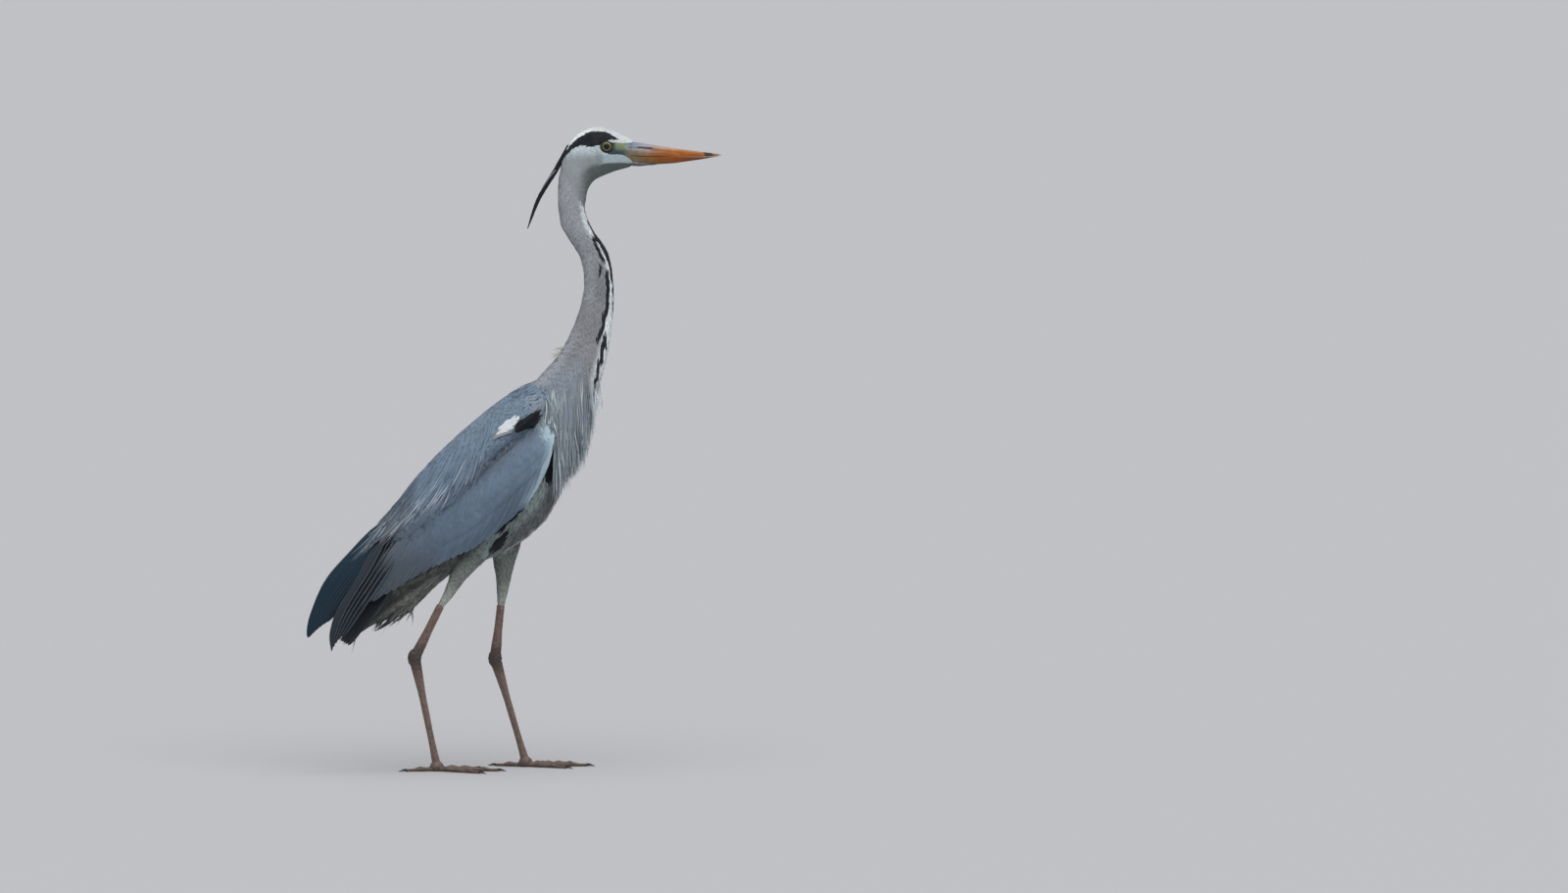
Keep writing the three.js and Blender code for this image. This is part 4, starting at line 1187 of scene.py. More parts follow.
# Rows of wing feathers from the lowest: tips' height over the wing, length, width, spacing, lift, section.
WING_ROWS = [
    (-0.015, 96, 21, 10.5, 0.2, FULL),
    (0.26, 66, 20, 9.5, 0.5, FULL),
    (0.42, 46, 17, 8.5, 0.7, FULL),
    (0.54, 34, 14, 7.0, 0.8, LITE),
    (0.64, 25, 10, 5.0, 0.8, LITE),
    (0.73, 20, 8, 4.4, 0.6, LITE),
    (0.81, 17, 7, 4.0, 0.4, LITE),
]


def colour_along(colour, lines):
    """A colour rule read at every ring of lines (N, K, 3)."""
    return np.stack([colour(lines[:, k]) for k in range(lines.shape[1])], 1)


def shaft_tints(colour, t, section, shaft=1.3, edge=0.85, tip=1.0, fringe=None, rim=0.5):
    """Tints (N, K, M, 3): a paler shaft, a darker or fringed edge and a change towards the tip."""
    across = np.abs(section[:, 0])
    over = section[:, 1] > 0
    factor = np.where((across < 0.03) & over, shaft, np.where(across > 0.99, edge, 1.0))
    along = 1 + (tip - 1) * t
    tints = colour[:, None, None] * factor[None, None, :, None] * along[None, :, None, None]
    if fringe is not None:
        share = (across > 0.99)[None, None, :, None] * rim
        tints = tints * (1 - share) + np.asarray(fringe) * share
    return tints


def solid_of(parts):
    verts, faces, _ = joined([node_mesh(part) for part in parts])
    return Surface(verts, faces)


def taut(out, t):
    """The least line over out that never dips: a stiff feather that bridges hollows."""
    out = out.copy()
    for i in range(len(out)):
        hull = [(0, out[i, 0])]
        for k in range(1, out.shape[1]):
            while len(hull) > 1:
                (a, ya), (b, yb) = hull[-2], hull[-1]
                if (yb - ya) * (t[k] - t[a]) <= (out[i, k] - ya) * (t[b] - t[a]):
                    hull.pop()
                else:
                    break
            hull.append((k, out[i, k]))
        places, heights = zip(*hull)
        out[i] = np.interp(t, t[list(places)], heights)
    return out


def side_lines(solid, side, tips, angles, lengths, lift, t, bend=7.0, sink=0.0):
    """Lines (N, K, 3) down a wing's outer face, worked back from their tips in the side view.

    Also tells which of them have their roots over the solid. sink draws the roots under its surface.
    """
    count, rings = len(tips), len(t)
    turn = np.radians(angles[:, None] + bend * (0.5 - t[None, :]))
    steps = np.diff(t)[None, :, None] * lengths[:, None, None]
    ahead = np.stack([-np.cos(turn), -np.sin(turn)], -1)[:, 1:] * steps
    run = np.concatenate([np.zeros((count, 1, 2)), np.cumsum(ahead, axis=1)], 1)
    xz = tips[:, None] + run - run[:, -1:]
    out = np.full((count, rings), np.nan)
    for i in range(count):
        for k in range(rings):
            hit = solid.tree.ray_cast((xz[i, k, 0], side * 200, xz[i, k, 1]), (0, -side, 0))[0]
            if hit is not None:
                out[i, k] = side * hit[1]
    rooted = ~np.isnan(out[:, :2]).any(1) & (np.nan_to_num(out[:, 0]) > 4)
    for i in range(count):
        known = ~np.isnan(out[i])
        out[i] = np.interp(t, t[known], out[i, known]) if known.any() else 30.0
    out = taut(out, t)
    lines = np.empty((count, rings, 3))
    lines[..., 0], lines[..., 2] = xz[..., 0], xz[..., 1]
    lines[..., 1] = side * (out - 2.0 + lift + 0.8 * t[None, :] - sink * ease(0.25, 0, t)[None, :])
    return lines, rooted


def side_ups(lines, side, tilt=0.06):
    """Normals of feathers on a wing's face. tilt turns each one to lie over the one behind it."""
    along = unit(np.gradient(lines, axis=1))
    across = unit(np.cross(along, (0, side, 0)))
    return unit(np.cross(across, along) + across * tilt)


def make_wing(name, side):
    coat = Coat(f"coat_wing_{name}", STIFF)
    roots = scatter(skin_surface, faces_where("wing", lambda m: m[:, 1] * side > 0), 3.6)
    roots = roots[(roots[:, 0] > 0) | (above_wing_edge(roots) > 9)]
    small_feathers(coat, roots, lie_of_wing, wing_colour, 15.0, 6.0, 0.9, 0.2, SHORT, vary=0.03,
                   root=0.95, tip=1.02)
    solid = solid_of([f"{part}_{name}" for part in ("wing_coverts", "wing_secondaries", "scapulars")])
    for row, (height, length, width, spacing, lift, section) in enumerate(WING_ROWS):
        t = towards_tip(10 if section is FULL else 7, 1.8)
        edge = WING_LOW * (1 - height) + WING_TOP * height
        run = np.linalg.norm(np.diff(edge, axis=0), axis=1).sum()
        spots = np.arange(0.4, run / spacing) * spacing / run
        count = len(spots)
        places = (spots + rng.normal(0, 0.10 * spacing / run, count)).clip(0.012, 1) * (len(edge) - 1)
        tips = at_places(edge, places)
        tips[:, 1] += rng.normal(0, 0.6 + 1.6 * (height > 0.5), count)
        short = 0.30 + 0.70 * ease(0.0, 0.25, spots)
        lengths = length * short * around(1, 0.05, count)
        angles = np.interp(tips[:, 0], (-140, -40, 70, 112, 121), (54, 62, 67, 78, 90))
        angles += rng.normal(0, 1.0, count)
        lines, rooted = side_lines(solid, side, tips, angles, lengths, lift, t, sink=1.2)
        widths = width * (0.5 + 0.5 * short) * around(1, 0.05, count)
        verts = vanes(lines, side_ups(lines, side, 0.05 if height < 0.5 else 0.02), widths, 0.24,
                      vane_profile(t, 0.45, 3.0, 0.03), section, 0.05, 0.03)
        tints = colour_along(wing_colour, lines)[:, :, None]
        tints = tints * each(1, 0.035, count)
        shaded = shaft_tints(np.ones((count, 3)), t, section, 1.10 if section is FULL else 1.0, 0.96, 1.0)
        homes = np.stack([spots, np.full(count, (row + 0.5) / 12)], 1)
        coat.add(verts[rooted], (tints * shaded)[rooted], homes[rooted], section)
    secondaries(coat, solid, side)
    coat.make([f"wing_coverts_{name}", f"wing_secondaries_{name}"])


def secondaries(coat, solid, side):
    """The rearmost long wing feathers, each with a thin pale outer edge."""
    count = 9
    t = towards_tip(22, 1.6)
    spots = np.linspace(0, 1, count)
    heights = np.interp(spots, (0, 0.5, 1), (275, 251, 229))
    tips = np.stack([np.interp(spots, (0, 1), (-62, -146)), heights], 1)
    tips[:, 1] += 1.5 * np.sin(spots * 9)
    angles = np.interp(spots, (0, 1), (70, 62))
    lengths = np.interp(spots, (0, 1), (80, 100))
    lines, _ = side_lines(solid, side, tips, angles, lengths, 0.9, t, 6, sink=2.5)
    lines[..., 1] += side * 0.25 * np.arange(count)[:, None]
    verts = vanes(lines, side_ups(lines, side, 0.05), [17.0] * count, 0.3, vane_profile(t, 0.5, 4, 0.03),
                  FULL, 0.05, 0.03)
    base = colour_along(wing_colour, lines)[:, :, None]
    tints = base * shaft_tints(np.ones((count, 3)), t, FULL, 1.15, 1.0, 0.9)
    tints[:, :, np.abs(FULL[:, 0]) > 0.99] = mix(base, (0.26, 0.28, 0.31), 0.6)
    coat.add(verts, tints, np.stack([spots, np.full(count, 0.9)], 1), FULL)


# Ends of the long pale shoulder plumes over the wing in the side view, from front to rear.
PLUME_ENDS = spline([(14, 405), (-2, 388), (-20, 372), (-42, 358), (-62, 350), (-88, 340), (-104, 318),
                     (-126, 305), (-150, 292), (-170, 281)], 100)


def make_mantle(name, side):
    coat = Coat(f"coat_scapulars_{name}")
    roots = scatter(skin_surface, faces_where("scapulars", lambda m: m[:, 1] * side > 0), 3.3)
    size = np.interp(roots[:, 0], (55, 95), (1, 0.55))
    small_feathers(coat, roots, lie_of_mantle, mantle_colour, 26.0 * size, 6.6 * size, 0.8, 0.16, SHORT,
                   splay=0.04, vary=0.025, root=0.98, tip=1.01)
    solid = solid_of([f"{part}_{name}" for part in
                      ("wing_coverts", "wing_secondaries", "scapulars", "wing_tertials", "wing_primaries")])
    # Two layers: how many plumes, their reach up the back, the widest, and the share of pale ones.
    layers = ((150, 60, 3.4, 0.0), (110, 36, 2.1, 0.8))
    for layer, (count, back_reach, widest, pale_share) in enumerate(layers):
        t = towards_tip(12, 1.2)
        spots = np.sort(rng.random(count))
        tips = at_places(PLUME_ENDS, spots * 99)
        back = rng.random(count) ** 1.4 if layer else 0.15 + 0.85 * rng.random(count)
        tips += back[:, None] * np.array([0.30, 1.0]) * back_reach + rng.normal(0, 2.0, (count, 2))
        angles = np.interp(tips[:, 0], (-160, -110, -60, 0, 15), (49, 53, 59, 72, 78))
        angles += rng.normal(0, 3.0, count)
        lengths = rng.uniform(45, 85, count) * np.interp(tips[:, 0], (-60, 15), (1, 0.5))
        lines, rooted = side_lines(solid, side, tips, angles, lengths, 1.4 + 0.8 * layer, t, 11, 2.6)
        shares = vane_profile(t, 0.08, 1.5 if layer else 2.2, 0.04)
        verts = vanes(lines, side_ups(lines, side, 0.1 if layer else 0.05),
                      rng.uniform(0.5, 1, count) * widest, 0.3, shares, LITE, 0.08, 0.15)
        pale = (rng.random(count) < pale_share) * rng.uniform(0.15, 1, count) ** 1.5
        tints = colour_along(mantle_colour, lines)
        share = ease(0.10, 0.65, t)[None, :] * pale[:, None] * 0.9
        tints = mix(tints, (0.66, 0.73, 0.80), share)[:, :, None]
        homes = np.stack([spots, 0.99 - 0.1 * back], 1)
        coat.add(verts[rooted], tints[rooted], homes[rooted], LITE)
    shoulder_tufts(coat, solid, side)
    coat.make([f"scapulars_{name}"])


def shoulder_tufts(coat, solid, side):
    """The black patch over the wrist, and the white brush of feathers behind it."""
    t = towards_tip(7, 1.3)
    for count, low, high, tall, colour, length, angle, lift in (
        (170, (64, 475), (88, 487), 16, BLACK, 13, 24, 2.9),
        (100, (40, 472), (60, 484), 11, (0.80, 0.84, 0.88), 13, 30, 3.1),
        (50, (34, 464), (56, 474), 9, (0.34, 0.36, 0.38), 15, 36, 2.3),
    ):
        along, over = rng.random((2, count))
        tips = np.array(low) + (np.array(high) - low) * along[:, None]
        tips[:, 1] += (over - 0.5) * tall
        tips[:, 0] += (over - 0.5) * 3
        lines, _ = side_lines(solid, side, tips, angle + rng.normal(0, 7, count), around(length, 0.25, count),
                              lift, t, 4, 1.5)
        verts = vanes(lines, side_ups(lines, side), around(3.0, 0.3, count), 0.24,
                      vane_profile(t, 0.1, 1.8, 0.08), LITE)
        tints = np.asarray(colour) * each(1, 0.10, count)
        coat.add(verts, tints, np.stack([along * 0.1, 0.2 + 0.1 * over], 1), LITE)


# ---------------------------------------------------------------- flight feathers and tail

PRIMARIES = dict(
    first=[(-94, 2, 359), (-124, 6, 340), (-162, 9, 302), (-197, 8, 262), (-218, 6, 217), (-229, 5, 181)],
    last=[(-98, 22, 318), (-128, 25, 287), (-156, 23, 252),
          (-178, 18, 222), (-190, 15, 203), (-198, 13, 187)],
)
TERTIALS = dict(
    first=[(-97, 22, 350), (-122, 25, 326), (-150, 28, 277),
           (-180, 26, 227), (-193, 24, 190), (-192, 22, 161)],
    last=[(-97, 38, 296), (-119, 41, 262), (-142, 38, 226),
          (-160, 35, 200), (-170, 32, 185), (-174, 31, 178)],
)
TAIL_EDGE = [(-101, 17, 256), (-128, 24, 218), (-153, 30, 184), (-164, 33, 168)]


def mirrored(points, side):
    return np.asarray(points, float) * (1, side, 1)


def fan(coat, first, last, count, facing, colour, share, profile, arch=3.0, step=1.0, shorter=0.04,
        middle_on_top=False, shaft=1.3, fringe=None, rim=0.5, thick=1.1):
    """Long stiff feathers spread between two edge lines. Each one takes a share of the whole width."""
    t = towards_tip(34, 1.7)
    a, b = spline(first, 160), spline(last, 160)
    order = np.arange(count)
    low = order / (count - 1) * (1 - share)
    centre = low + share / 2
    from_top = np.abs(2 * order - (count - 1)) / 2 if middle_on_top else order
    lines = np.empty((count, len(t), 3))
    width = np.empty((count, len(t)))
    for n in range(count):
        places = t * (1 - shorter * from_top[n]) * 159
        one = at_places(a, places)
        two = at_places(b, places)
        lines[n] = one * (1 - centre[n]) + two * centre[n]
        width[n] = np.linalg.norm(two - one, axis=1) * share
    along = unit(np.gradient(lines, axis=1))
    across = unit(np.broadcast_to(b[-1] - a[-1], lines.shape))
    ups = unit(np.cross(across, along)) * facing
    lift = arch * 4 * centre * (1 - centre) - step * from_top
    slope = arch * 4 * (1 - 2 * centre) / np.linalg.norm(b[-1] - a[-1])
    lines = lines + ups * lift[:, None, None]
    ups = unit(ups - across * slope[:, None, None])
    verts = vanes(lines, ups, width, thick, profile(t), FULL, 0.05, 0.03)
    base = np.asarray(colour) * around(1, 0.10, count)[:, None]
    tints = shaft_tints(base, t, FULL, shaft, 0.9, 0.9, fringe, rim)
    coat.add(verts, tints, np.stack([centre, np.full(count, 0.5)], 1), FULL)


def make_flight_feathers(name, side):
    primaries = Coat(f"primaries_{name}", STIFF, 0.05)
    fan(primaries, mirrored(PRIMARIES["first"], side), mirrored(PRIMARIES["last"], side), 6, side, SLATE,
        0.52, lambda t: vane_profile(t, 0.8, 14, 0.03), shorter=0.022, fringe=(0.06, 0.085, 0.11), rim=0.6)
    primaries.make([f"wing_primaries_{name}"])
    tertials = Coat(f"tertials_{name}", STIFF, 0.05)
    fan(tertials, mirrored(TERTIALS["first"], side), mirrored(TERTIALS["last"], side), 5, side, TERTIAL, 0.5,
        lambda t: vane_profile(t, 0.8, 6, 0.02), shorter=0.02, shaft=2.4, fringe=(0.20, 0.215, 0.23), rim=0.8)
    tertials.make([f"wing_tertials_{name}"])


def make_tail():
    tail = Coat("tail_feathers", STIFF, 0.05)
    fan(tail, mirrored(TAIL_EDGE, 1), mirrored(TAIL_EDGE, -1), 12, -1, TAIL, 0.24,
        lambda t: vane_profile(t, 0.8, 10, 0.03), arch=17.0, step=0.5, shorter=0.006, middle_on_top=True,
        fringe=(0.07, 0.08, 0.09))
    tail.make(["tail"])


# ---------------------------------------------------------------- loose plumes


def hang(roots, lengths, way, t, clear):
    """Lines that leave the skin along their heading and soon hang, outside the skin by a clearance."""
    points, normals, _ = skin_surface.nearest(roots)
    points = points + normals * 0.3
    lines, ups = [points], [normals]
    down = np.array((0.0, 0.0, -1.0))
    drift = rng.normal(0, 0.05, (len(roots), 3))
    for share, step in zip(t[1:], np.diff(t)):
        ahead = unit(mix(way(points), down + drift, np.full(len(points), ease(0, 0.3, share))))
        goal = points + ahead * lengths[:, None] * step
        found, up, _ = skin_surface.nearest(goal)
        out = dot(goal - found, up)
        needed = 0.3 + clear[:, None] * share**0.7
        points = np.where(out < needed, found + up * needed, goal)
        lines.append(points)
        ups.append(unit(ups[-1] * 0.7 + up * 0.3))
    return np.stack(lines, 1), np.stack(ups, 1)


# How low the breast's plumes hang in the side view, from the body's side to the neck's front: x, z.
PLUME_FRINGE = np.array([(85, 492), (99, 484), (104, 472), (118, 467), (123, 456), (124.5, 400), (126.5, 364),
                         (131, 374), (144, 398), (158, 414), (167, 436), (172, 466), (180, 492), (190, 500)])


def make_breast_plumes():
    coat = Coat("breast_plumes")

    def front(middles):
        x, _, z = middles.T
        round_front = roundness(middles)
        streaked = (round_front > 0.6) & (z > 538)
        return (z > 440) & (z < 584) & (round_front > 0.30 + 0.28 * ease(520, 584, z)) & (x > 90) & ~streaked

    roots = scatter(skin_surface, faces_where("neck", front) | faces_where("trunk", front), 3.2)
    fringe = np.interp(roots[:, 0] + 1, *PLUME_FRINGE.T)
    lengths = (roots[:, 2] - fringe) * (1 - 0.5 * rng.random(len(roots)) ** 1.3)
    kept = (lengths > 12) & (rng.random(len(roots)) < ease(592, 548, roots[:, 2]))
    roots, lengths = roots[kept], lengths[kept].clip(0, 135)
    count = len(roots)
    t = towards_tip(11, 1.1)
    lines, ups = hang(roots, lengths, towards_tail, t, rng.uniform(1.0, 5.5, count))
    falls = -np.diff(lines[..., 2], axis=1) / np.linalg.norm(np.diff(lines, axis=1), axis=-1)
    free = falls[:, 5:].min(1) > 0.75
    roots, lines, ups, count = roots[free], lines[free], ups[free], int(free.sum())
    phase, wave = rng.uniform(0, 2 * math.pi, count)[:, None], rng.uniform(0.5, 3.2, count)[:, None]
    lines[..., 0] += wave * (np.sin(phase + 5 * t[None]) - np.sin(phase)) * t[None]
    fine = rng.random(count)
    verts = vanes(lines, ups, 1.3 + 2.5 * fine**1.5, 0.3, vane_profile(t, 0.15, 1.6, 0.05), THIN, 0.1, 0.15)
    pale = rng.random(count) ** 2.2
    base = mix(NECK_BASE, PLUME, ease(0.0, 0.25, pale))
    base = mix(base, PLUME_PALE, ease(0.35, 1.0, pale))
    base = mix(base, WHITE, ease(168, 176, roots[:, 0]))
    start = neck_colour(roots)
    tints = mix(start[:, None], base[:, None], np.broadcast_to(ease(0, 0.45, t), (count, len(t))))
    tints = tints[:, :, None] * (0.92 + 0.16 * t)[None, :, None, None] * np.ones((1, 1, len(THIN), 1))
    coat.add(verts, tints, body_homes(roots))
    # A small white tuft ends the streaked strip.
    count = 44
    tips = np.array((185.0, 0, 494)) + rng.normal(0, 1, (count, 3)) * (0.7, 1.8, 1.0)
    tips += np.array((-0.05, 0, 1.0)) * rng.exponential(9, (count, 1)).clip(0, 26)
    roots = np.stack([np.full(count, 179.5), tips[:, 1] * 1.8, rng.uniform(534, 552, count)], 1)
    lines = roots[:, None] * (1 - t[:, None]) + tips[:, None] * t[:, None]
    lines[..., 0] += 4.5 * (t * (1 - t))[None]
    facing = np.stack([np.ones(count), 0.3 * tips[:, 1], np.zeros(count)], 1)
    ups = np.broadcast_to(unit(facing)[:, None], lines.shape)
    verts = vanes(lines, ups, rng.uniform(1.6, 2.8, count), 0.3, vane_profile(t, 0.3, 1.6, 0.05),
                  THIN, 0.1, 0.15)
    coat.add(verts, np.array(WHITE) * each(0.95, 0.05, count), body_homes(roots))
    coat.make(["breast_plumes_front", "breast_plumes_right", "breast_plumes_left"])


def make_crest(name, side):
    t = towards_tip(40, 1.1)
    line = spline([(139, 4.5, 861), (126.5, 5, 838), (117.5, 5, 822), (105.5, 5, 803), (94.5, 5, 782),
                   (82, 4.5, 747.5)], 200)
    lines = at_places(mirrored(line, side), t * 199)[None]
    ups = np.broadcast_to(unit(np.array((0.25, side * 1.0, 0.2))), lines.shape)
    coat = Coat(f"crest_{name}", STIFF, 0.05)
    verts = vanes(lines, ups, [7.0], 1.8, vane_profile(t, 0.85, 3.0, 0.22), FULL, 0.1, 0.12)
    coat.add(verts, np.array(BLACK) * np.ones((1, len(t), len(FULL), 1)), np.array([[0.5, 0.5]]), FULL)
    wisp = spline([(124, 5, 832), (112, 6.5, 818), (104, 7.5, 806), (99, 8, 797)], 16)
    lines = mirrored(wisp, side)[None]
    verts = vanes(lines, ups[:, :16], [1.5], 0.5, vane_profile(np.linspace(0, 1, 16), 0.8, 2.0, 0.2), FULL)
    coat.add(verts, np.array((0.30, 0.32, 0.33)) * np.ones((1, 16, len(FULL), 1)),
             np.array([[0.6, 0.6]]), FULL)
    coat.make([f"crest_plume_{name}"])


# ---------------------------------------------------------------- bill, eyes and legs

def mandible(name, table, upper):
    """One half of the bill, lofted finely, with its ridge, groove and nostril in the surface."""
    rings, sides = 200, 72
    x = np.linspace(table[0, 0], table[-1, 0], rings)
    fine = spline(table[:, :2], 400)
    edge = np.interp(x, fine[:, 0], fine[:, 1])
    fine = spline(table[:, [0, 2]], 400)
    ridge = np.interp(x, fine[:, 0], fine[:, 1])
    half = np.interp(x, table[:, 0], table[:, 3])
    # Once round the section from the middle of the mouth's face: out along it, then over the ridge and back.
    t = np.linspace(0, 1, sides // 2)
    outer = np.stack([np.cos(t * math.pi), np.sin(t * math.pi) ** 0.85], 1)
    flat = np.stack([np.linspace(-1, 1, sides - len(outer) + 2)[1:-1], np.full(sides - len(outer), 0.0)], 1)
    section = np.vstack([outer, flat])
    tall = ridge - edge
    verts = np.empty((rings, sides, 3))
    verts[:, :, 0] = x[:, None]
    verts[:, :, 1] = section[None, :, 0] * half[:, None]
    up = section[None, :, 1]
    verts[:, :, 2] = edge[:, None] + up * tall[:, None]
    share = np.abs(up)
    out = unit(np.stack([np.zeros((rings, sides)), section[None, :, 0] + 0 * x[:, None],
                         up * np.sign(tall)[:, None]], -1))
    move = np.zeros((rings, sides))
    if upper:
        place = groove_place(x)[:, None]
        move -= 0.42 * np.exp(-(((share - place) / 0.09) ** 2)) * ease(306, 280, x)[:, None]
        move -= 0.9 * ease(1.1, 0.7, from_nostril(x[:, None], verts[:, :, 2], 1.1))
    move += 0.025 * np.sin(x[:, None] * 1.9 + 3 * share) * np.sin(x[:, None] * 0.53) * (share > 0.02)
    move *= np.minimum(1, half[:, None] / 4)
    verts += out * move[:, :, None]
    # The mouth's faces part a little, so that a dark seam shows between the two halves.
    verts[:, :, 2] += 0.18 * np.sign(tall)[:, None] * (share < 0.02)
    faces = tube_faces(rings, sides)
    if upper:
        faces = faces[:, ::-1]
    points = verts.reshape(-1, 3)
    obj = new_object(name, points, faces)
    set_tint(obj, np.clip(bill_colour(points, upper), 0, 1))
    finish_piece(obj, HORN, [name.replace("horn_", "bill_")])
    normals = vertex_normals(points, faces)
    middle = np.stack([verts[:, :, i].mean(1) for i in range(3)], 1).repeat(sides, axis=0)
    return Surface(points, faces, normals * np.sign(dot(normals, points - middle).mean()))


def ring_faces(rows, columns, closed=False):
    """Quads between rows of points, each row a ring. closed also joins the last row to the first."""
    faces = []
    for k in range(rows if closed else rows - 1):
        near = k * columns
        far = (k + 1) % rows * columns
        for m in range(columns):
            n = (m + 1) % columns
            faces.append((near + m, near + n, far + n, far + m))
    return np.array(faces)


def revolved(profile, count):
    """A closed surface round the y axis from (radius, y) points that start and end on the axis."""
    angle = np.linspace(0, 2 * math.pi, count, endpoint=False)
    profile = np.asarray(profile, float)
    verts = np.empty((len(profile), count, 3))
    verts[..., 0] = profile[:, :1] * np.cos(angle)
    verts[..., 2] = profile[:, :1] * np.sin(angle)
    verts[..., 1] = profile[:, 1:]
    return verts.reshape(-1, 3), ring_faces(len(profile), count)


def eye_material():
    material, nodes, links, shader = nodes_of("eye")
    tint = attribute(nodes, "tint").outputs["Color"]
    links.new(tint, shader.inputs["Base Color"])
    shader.inputs["Roughness"].default_value = 0.35
    shader.inputs["Coat Weight"].default_value = 0.22
    shader.inputs["Specular IOR Level"].default_value = 0.2
    shader.inputs["Coat Roughness"].default_value = 0.02
    return material


def make_eye(name, side, material):
    radius = EYE["radius"]
    theta = np.linspace(0.0005, math.pi - 0.0005, 120)
    verts, faces = revolved(np.stack([radius * np.sin(theta), radius * np.cos(theta)], 1), 144)
    across = np.hypot(verts[:, 0], verts[:, 2])
    ray = np.arctan2(verts[:, 2], verts[:, 0])
    front = verts[:, 1] > 0
    fibre = 1 + 0.16 * np.sin(ray * 37 + 2 * np.sin(ray * 5)) + 0.10 * np.sin(ray * 71)
    colour = np.array((0.27, 0.28, 0.10)) * fibre[:, None]
    colour = mix(colour, (0.035, 0.036, 0.014), ease(5.1, 4.3, across))
    colour = mix(colour, (0.10, 0.10, 0.04), ease(5.7, 6.0, across))
    colour = mix(colour, (0.006, 0.006, 0.006), ease(3.25, 3.05, across))
    colour = mix(colour, (0.012, 0.012, 0.012), ease(6.0, 6.25, across))
    colour = np.where(front[:, None], colour, 0.02)
    verts = verts * (1, side, 1) + (EYE["x"], side * EYE["y"], EYE["z"])
    if side > 0:
        faces = faces[:, ::-1]
    obj = new_object(f"eyeball_{name}", verts, faces)
    set_tint(obj, np.clip(colour, 0, 1))
    finish_piece(obj, material, [f"eye_{name}"])


def make_lids(name, side):
    """A dark rim of bare skin round the opening, from the eyeball to the skin, with two corners."""
    turns, ring = 144, 16
    a = np.linspace(0, 2 * math.pi, turns, endpoint=False)
    corner = np.abs(np.cos(a)) ** 8
    crease = 1 + 0.10 * np.sin(a * 23) + 0.07 * np.sin(a * 41)
    inner = EYE["opening"] - 0.15 + 0.45 * corner
    outer = inner + (1.9 + 0.5 * corner) * (1 + 0.04 * np.sin(a * 17))
    share = np.linspace(0, 1, ring // 2)
    reach = inner[:, None] * (1 - share) + outer[:, None] * share
    direction = np.stack([np.cos(a), np.sin(a)], 1)
    spot = np.array((EYE["x"], EYE["z"])) + reach[..., None] * direction[:, None]
    skin_out = skin_surface.out_on(side, spot.reshape(-1, 2), EYE["y"]).reshape(reach.shape)
    ball = EYE["y"] + np.sqrt(np.maximum(EYE["radius"] ** 2 - reach**2, 0.5))
    start, end = ball[:, :1] + 0.05, skin_out[:, -1:] - 0.05
    out = start * (1 - share) + end * share + 0.75 * crease[:, None] * np.sin(math.pi * share**0.8)
    out = np.maximum(out, skin_out + 0.1 * (share < 1))
    top = np.stack([spot[..., 0], side * out, spot[..., 1]], -1)
    under = top[:, ::-1] - (0, side * 1.4, 0)
    verts = np.concatenate([top, under], 1)
    faces = ring_faces(turns, ring, True)
    verts = verts.reshape(-1, 3)
    obj = new_object(f"lids_{name}", verts, faces if side < 0 else faces[:, ::-1])
    away = from_eye(verts)
    colour = mix((0.016, 0.017, 0.015), (0.09, 0.10, 0.05), ease(7.3, 8.2, away))
    set_tint(obj, colour * patchy(verts, 3, 0.2, 41)[:, None])
    finish_piece(obj, SCALES)


LEGS = {
    "right": dict(thigh=(32, 338), thigh_low=(-38, 229), ankle=(-74, 156.5), lean=11.5),
    "left": dict(thigh=(56, 340), thigh_low=(44, 224), ankle=(36, 150.5), lean=16.3),
}
STANCE = 33
PAD_HEIGHT = 7
TOES = [("inner", -27, 62), ("middle", 3, 84), ("outer", 33, 70), ("hind", 168, 42)]
LEG_BROWN = (0.20, 0.135, 0.11)
LEG_DARK = (0.055, 0.043, 0.036)


def foot_of(leg):
    ankle = leg["ankle"]
    return np.array([ankle[0] + (ankle[1] - PAD_HEIGHT) * math.tan(math.radians(leg["lean"])), PAD_HEIGHT])


def cells(points, pitch, keep, depth, seed):
    """Rounded small scales: moves along the normal, low in the seams between them."""
    local = np.random.default_rng(seed)
    order = local.permutation(len(points))
    _, first = np.unique(np.floor(points[order] / (pitch * 0.8)).astype(int), axis=0, return_index=True)
    seeds = points[order][first] + local.normal(0, pitch * 0.12, (len(first), 3))
    tree = KDTree(len(seeds))
    for i, seed_point in enumerate(seeds):
        tree.insert(seed_point, i)
    tree.balance()
    gap = np.zeros(len(points))
    for i in np.nonzero(keep > 0.01)[0]:
        found = tree.find_n(points[i], 2)
        gap[i] = found[1][2] - found[0][2]
    seam = 1 - ease(0.0, 0.28 * pitch, gap)
    return -depth * seam * keep, seam * keep


def settled(verts, quads, rounds, low):
    """Smooths a mesh that stands on the floor, and lays flat what is lower than low. Tells what is flat."""
    flat = verts[:, 2] < low
    even = smoothed(verts, edges_of(quads), rounds)
    return np.where(flat[:, None], verts * (1, 1, 0), np.maximum(even, (-np.inf, -np.inf, 0))), flat


